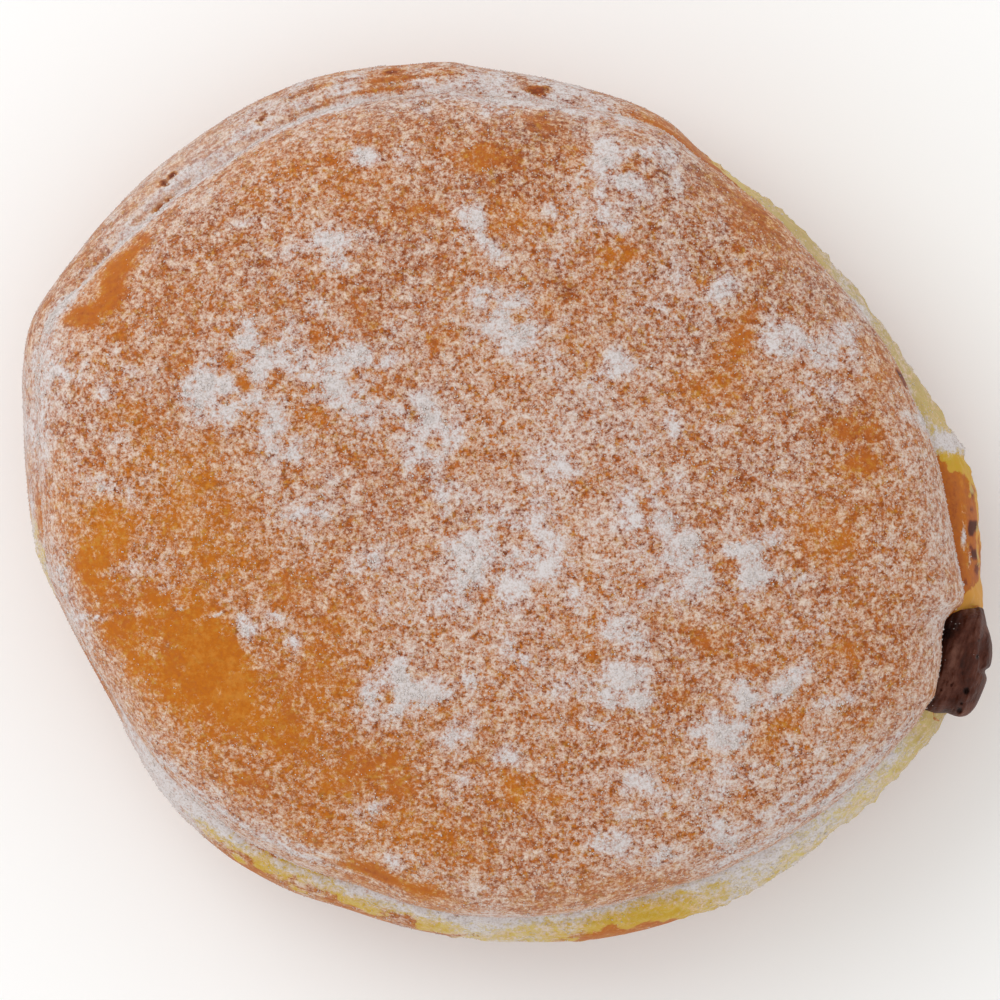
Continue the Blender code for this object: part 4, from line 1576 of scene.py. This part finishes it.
@dataclass
class LooseSugar:
    """Loose grains and small clumps of sugar, each lying on the surface at its true size."""

    grains: int = 22000
    grain_radius: tuple[float, float] = (0.05, 0.11)
    clumps: int = 2600
    clump_radius: tuple[float, float] = (0.09, 0.20)
    grains_on_cream: int = 16
    cream_grain_radius: tuple[float, float] = (0.04, 0.08)
    seed: int = 5

    def build(self, dough: Dough, cream: Cream) -> list[bpy.types.Object]:
        """Scatter the sugar by how thickly the dusting lies.

        Args:
            dough: the built dough.
            cream: the built cream, which gets a few grains near the crust.

        Returns:
            The grains and the clumps, one piece each.
        """
        rng = np.random.default_rng(self.seed)
        sugar = dough.fields["sugar"].reshape(dough.grid.points.shape[:2])
        flat = dough.grid.points.reshape(-1, 3)
        drifts = noise(flat, 1.2, 97, 2).reshape(sugar.shape)
        height = dough.grid.points[..., 2]
        facing_up = (0.12 + 0.88 * smoothstep(8.0, 16.0, height)) * (height > 3.0)
        dusted = (0.004 + smoothstep(-0.3, 1.0, sugar + 0.4 * drifts)) * facing_up
        on_top = 0.03 + 0.97 * (dough.grid.from_edge < -0.5)
        heaped = smoothstep(0.55, 1.3, sugar + 0.3 * drifts) * facing_up * on_top
        normals = dough.grid.normals()
        material = IcingSugar().make()
        pieces = []
        for name, count, radii, weight in (
            ("sugar_grains", self.grains, self.grain_radius, dusted),
            ("sugar_clumps", self.clumps, self.clump_radius, heaped),
        ):
            places, outward = scatter(dough.grid.points, normals, weight, count, rng)
            size = rng.uniform(*radii, count) * rng.uniform(0.7, 1.0, count)
            places = places + outward * (0.35 * size)[:, None]
            reach = 1.2 * size[:, None]
            inside = np.all((places > dough.low + reach) & (places < dough.high - reach), axis=1)
            places, size = places[inside], size[inside]
            if name == "sugar_grains":
                few, _ = scatter(
                    cream.points, cream.points, self.near_crust(cream), self.grains_on_cream, rng
                )
                places = np.vstack((places, few))
                size = np.append(size, rng.uniform(*self.cream_grain_radius, len(few)))
            vertices, faces = self.lumps(places, size, rng)
            piece = new_piece(name, vertices + dough.shift, faces)
            piece.data.shade_flat()
            piece.data.materials.append(material)
            pieces.append(piece)
        return pieces

    def near_crust(self, cream: Cream) -> np.ndarray:
        """Return how likely a grain is at each point of the cream: only beside the crust's edge."""
        x, y, z = (cream.points[..., axis] for axis in range(3))
        along = x * math.cos(cream.hole_angle) + y * math.sin(cream.hole_angle)
        near = smoothstep(46.6, 45.4, along) * smoothstep(44.4, 45.0, along) + 0.02 * (along > 45)
        return near * smoothstep(cream.height + 3.0, cream.height + 4.0, z)

    def lumps(self, places: np.ndarray, size: np.ndarray, rng: np.random.Generator) -> tuple:
        """Make an uneven eight-sided lump at each place.

        Args:
            places: the middles of the lumps.
            size: their radii.
            rng: the source of random numbers.

        Returns:
            The vertices and the faces of all lumps.
        """
        axes = np.array([(1, 0, 0), (0, 1, 0), (-1, 0, 0), (0, -1, 0), (0, 0, 1), (0, 0, -1)], float)
        sides = np.array([
            (0, 1, 4), (1, 2, 4), (2, 3, 4), (3, 0, 4), (1, 0, 5), (2, 1, 5), (3, 2, 5), (0, 3, 5)
        ])
        count = len(places)
        reach = rng.uniform(0.7, 1.2, (count, len(axes), 1)) * size[:, None, None]
        turned = np.linalg.qr(rng.normal(size=(count, 3, 3)))[0]
        turned *= np.sign(np.linalg.det(turned))[:, None, None]
        corners = (axes * reach) @ turned + places[:, None, :]
        faces = (sides + len(axes) * np.arange(count)[:, None, None]).reshape(-1, 3)
        return corners.reshape(-1, 3), faces.tolist()


def scatter(
    points: np.ndarray, normals: np.ndarray, weight: np.ndarray, count: int, rng: np.random.Generator
) -> tuple[np.ndarray, np.ndarray]:
    """Draw places at random on a closed grid of points.

    Args:
        points: rings of points.
        normals: the outward direction at each point.
        weight: how thickly the places lie at each point.
        count: how many places are drawn.
        rng: the source of random numbers.

    Returns:
        The places and the outward direction at each.
    """
    after = np.roll(points, -1, axis=1)
    area = np.linalg.norm(np.cross(points[1:] - points[:-1], after[:-1] - points[:-1]), axis=2)
    chance = (area * weight[:-1]).ravel()
    chosen = rng.choice(len(chance), count, p=chance / chance.sum())
    row, column = np.divmod(chosen, points.shape[1])
    beside = (column + 1) % points.shape[1]
    down, along = rng.random((2, count, 1))
    places = (
        points[row, column] * (1 - down) * (1 - along) + points[row, beside] * (1 - down) * along
        + points[row + 1, column] * down * (1 - along) + points[row + 1, beside] * down * along
    )
    return places, normals[row, column]


# ---------------------------------------------------------------- studio


@dataclass
class Studio:
    """A pale floor, soft light from all round and a camera straight above.

    Sizes are in metres, apart from the sensor's, which is in millimetres. The frame width is
    what the camera takes in at the height of the doughnut's widest outline.
    """

    camera_height: float = 4.0
    outline_height: float = 0.015
    frame_width: float = 0.097
    look_at: tuple[float, float] = (-0.00092, 0.00019)
    lamp_place: tuple[float, float, float] = (-0.5, 0.45, 0.9)
    lamp_watts: float = 3.0
    sky: float = 0.80
    horizon: float = 1.15
    slant: float = 0.12
    floor_size: float = 6.0
    floor_colour: str = "#FAFAF9"
    lamp_size: float = 0.8
    sensor_width: float = 36.0

    def build(self) -> None:
        """Make the floor, the light and the camera."""
        bpy.context.scene.view_settings.view_transform = "Standard"
        self.floor()
        self.light()
        self.camera()

    def floor(self) -> None:
        """Lay a wide pale floor."""
        bpy.ops.mesh.primitive_plane_add(size=self.floor_size)
        floor = bpy.context.object
        floor.name = "floor"
        material, tree, shader = new_material("pale_floor")
        wire(tree, shader, {"Base Color": linear(self.floor_colour), "Roughness": 0.9})
        floor.data.materials.append(material)

    def light(self) -> None:
        """Light the room evenly, with one broad soft lamp from the upper left."""
        scene = bpy.context.scene
        world = bpy.data.worlds.new("soft_light")
        scene.world = world
        world.use_nodes = True
        tree = world.node_tree
        ray = add_node(tree, "ShaderNodeTexCoord").outputs["Generated"]
        way = add_node(tree, "ShaderNodeSeparateXYZ", {}, {0: ray})
        height = add_node(
            tree, "ShaderNodeMapRange", {"To Min": self.horizon, "To Max": self.sky},
            {"Value": way.outputs["Z"]},
        )
        across = add_node(
            tree, "ShaderNodeMapRange",
            {"From Min": -1.0, "To Min": 1 + self.slant, "To Max": 1 - self.slant},
            {"Value": way.outputs["X"]},
        )
        strength = add_node(tree, "ShaderNodeMath", {"operation": "MULTIPLY"}, {0: height, 1: across})
        wire(tree, tree.nodes["Background"], {"Color": linear("#FFFFFF")}, {"Strength": strength})
        lamp = bpy.data.lights.new("key", "AREA")
        lamp.shape = "DISK"
        lamp.size = self.lamp_size
        lamp.energy = self.lamp_watts
        key = bpy.data.objects.new("key", lamp)
        key.location = self.lamp_place
        key.rotation_euler = key.location.to_track_quat("Z", "Y").to_euler()
        scene.collection.objects.link(key)

    def camera(self) -> None:
        """Hang the camera straight above, far enough for a nearly parallel view."""
        scene = bpy.context.scene
        lens = bpy.data.cameras.new("camera")
        lens.sensor_width = self.sensor_width
        lens.lens = lens.sensor_width * self.camera_height / self.frame_width
        lens.clip_start, lens.clip_end = 0.01, 20.0
        camera = bpy.data.objects.new("camera", lens)
        camera.location = (*self.look_at, self.outline_height + self.camera_height)
        scene.collection.objects.link(camera)
        scene.camera = camera


def settle(piece: bpy.types.Object, node: str | None = None) -> None:
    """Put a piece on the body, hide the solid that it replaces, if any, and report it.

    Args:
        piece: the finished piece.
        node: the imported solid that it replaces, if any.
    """
    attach(piece, BODY)
    if node is not None:
        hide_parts(node)
    LOG.info("%s: %d faces", piece.name, len(piece.data.polygons))


def main() -> None:
    """Build the doughnut's pieces in order and set the studio round them."""
    logging.basicConfig(level=logging.INFO, format="%(name)s: %(message)s")
    cream = Cream()
    dough = Dough()
    settle(dough.build(cream), "dough")
    settle(cream.build(dough.shift), "filling")
    for piece in LooseSugar().build(dough, cream):
        settle(piece)
    Studio().build()


if __name__ == "__main__":
    main()
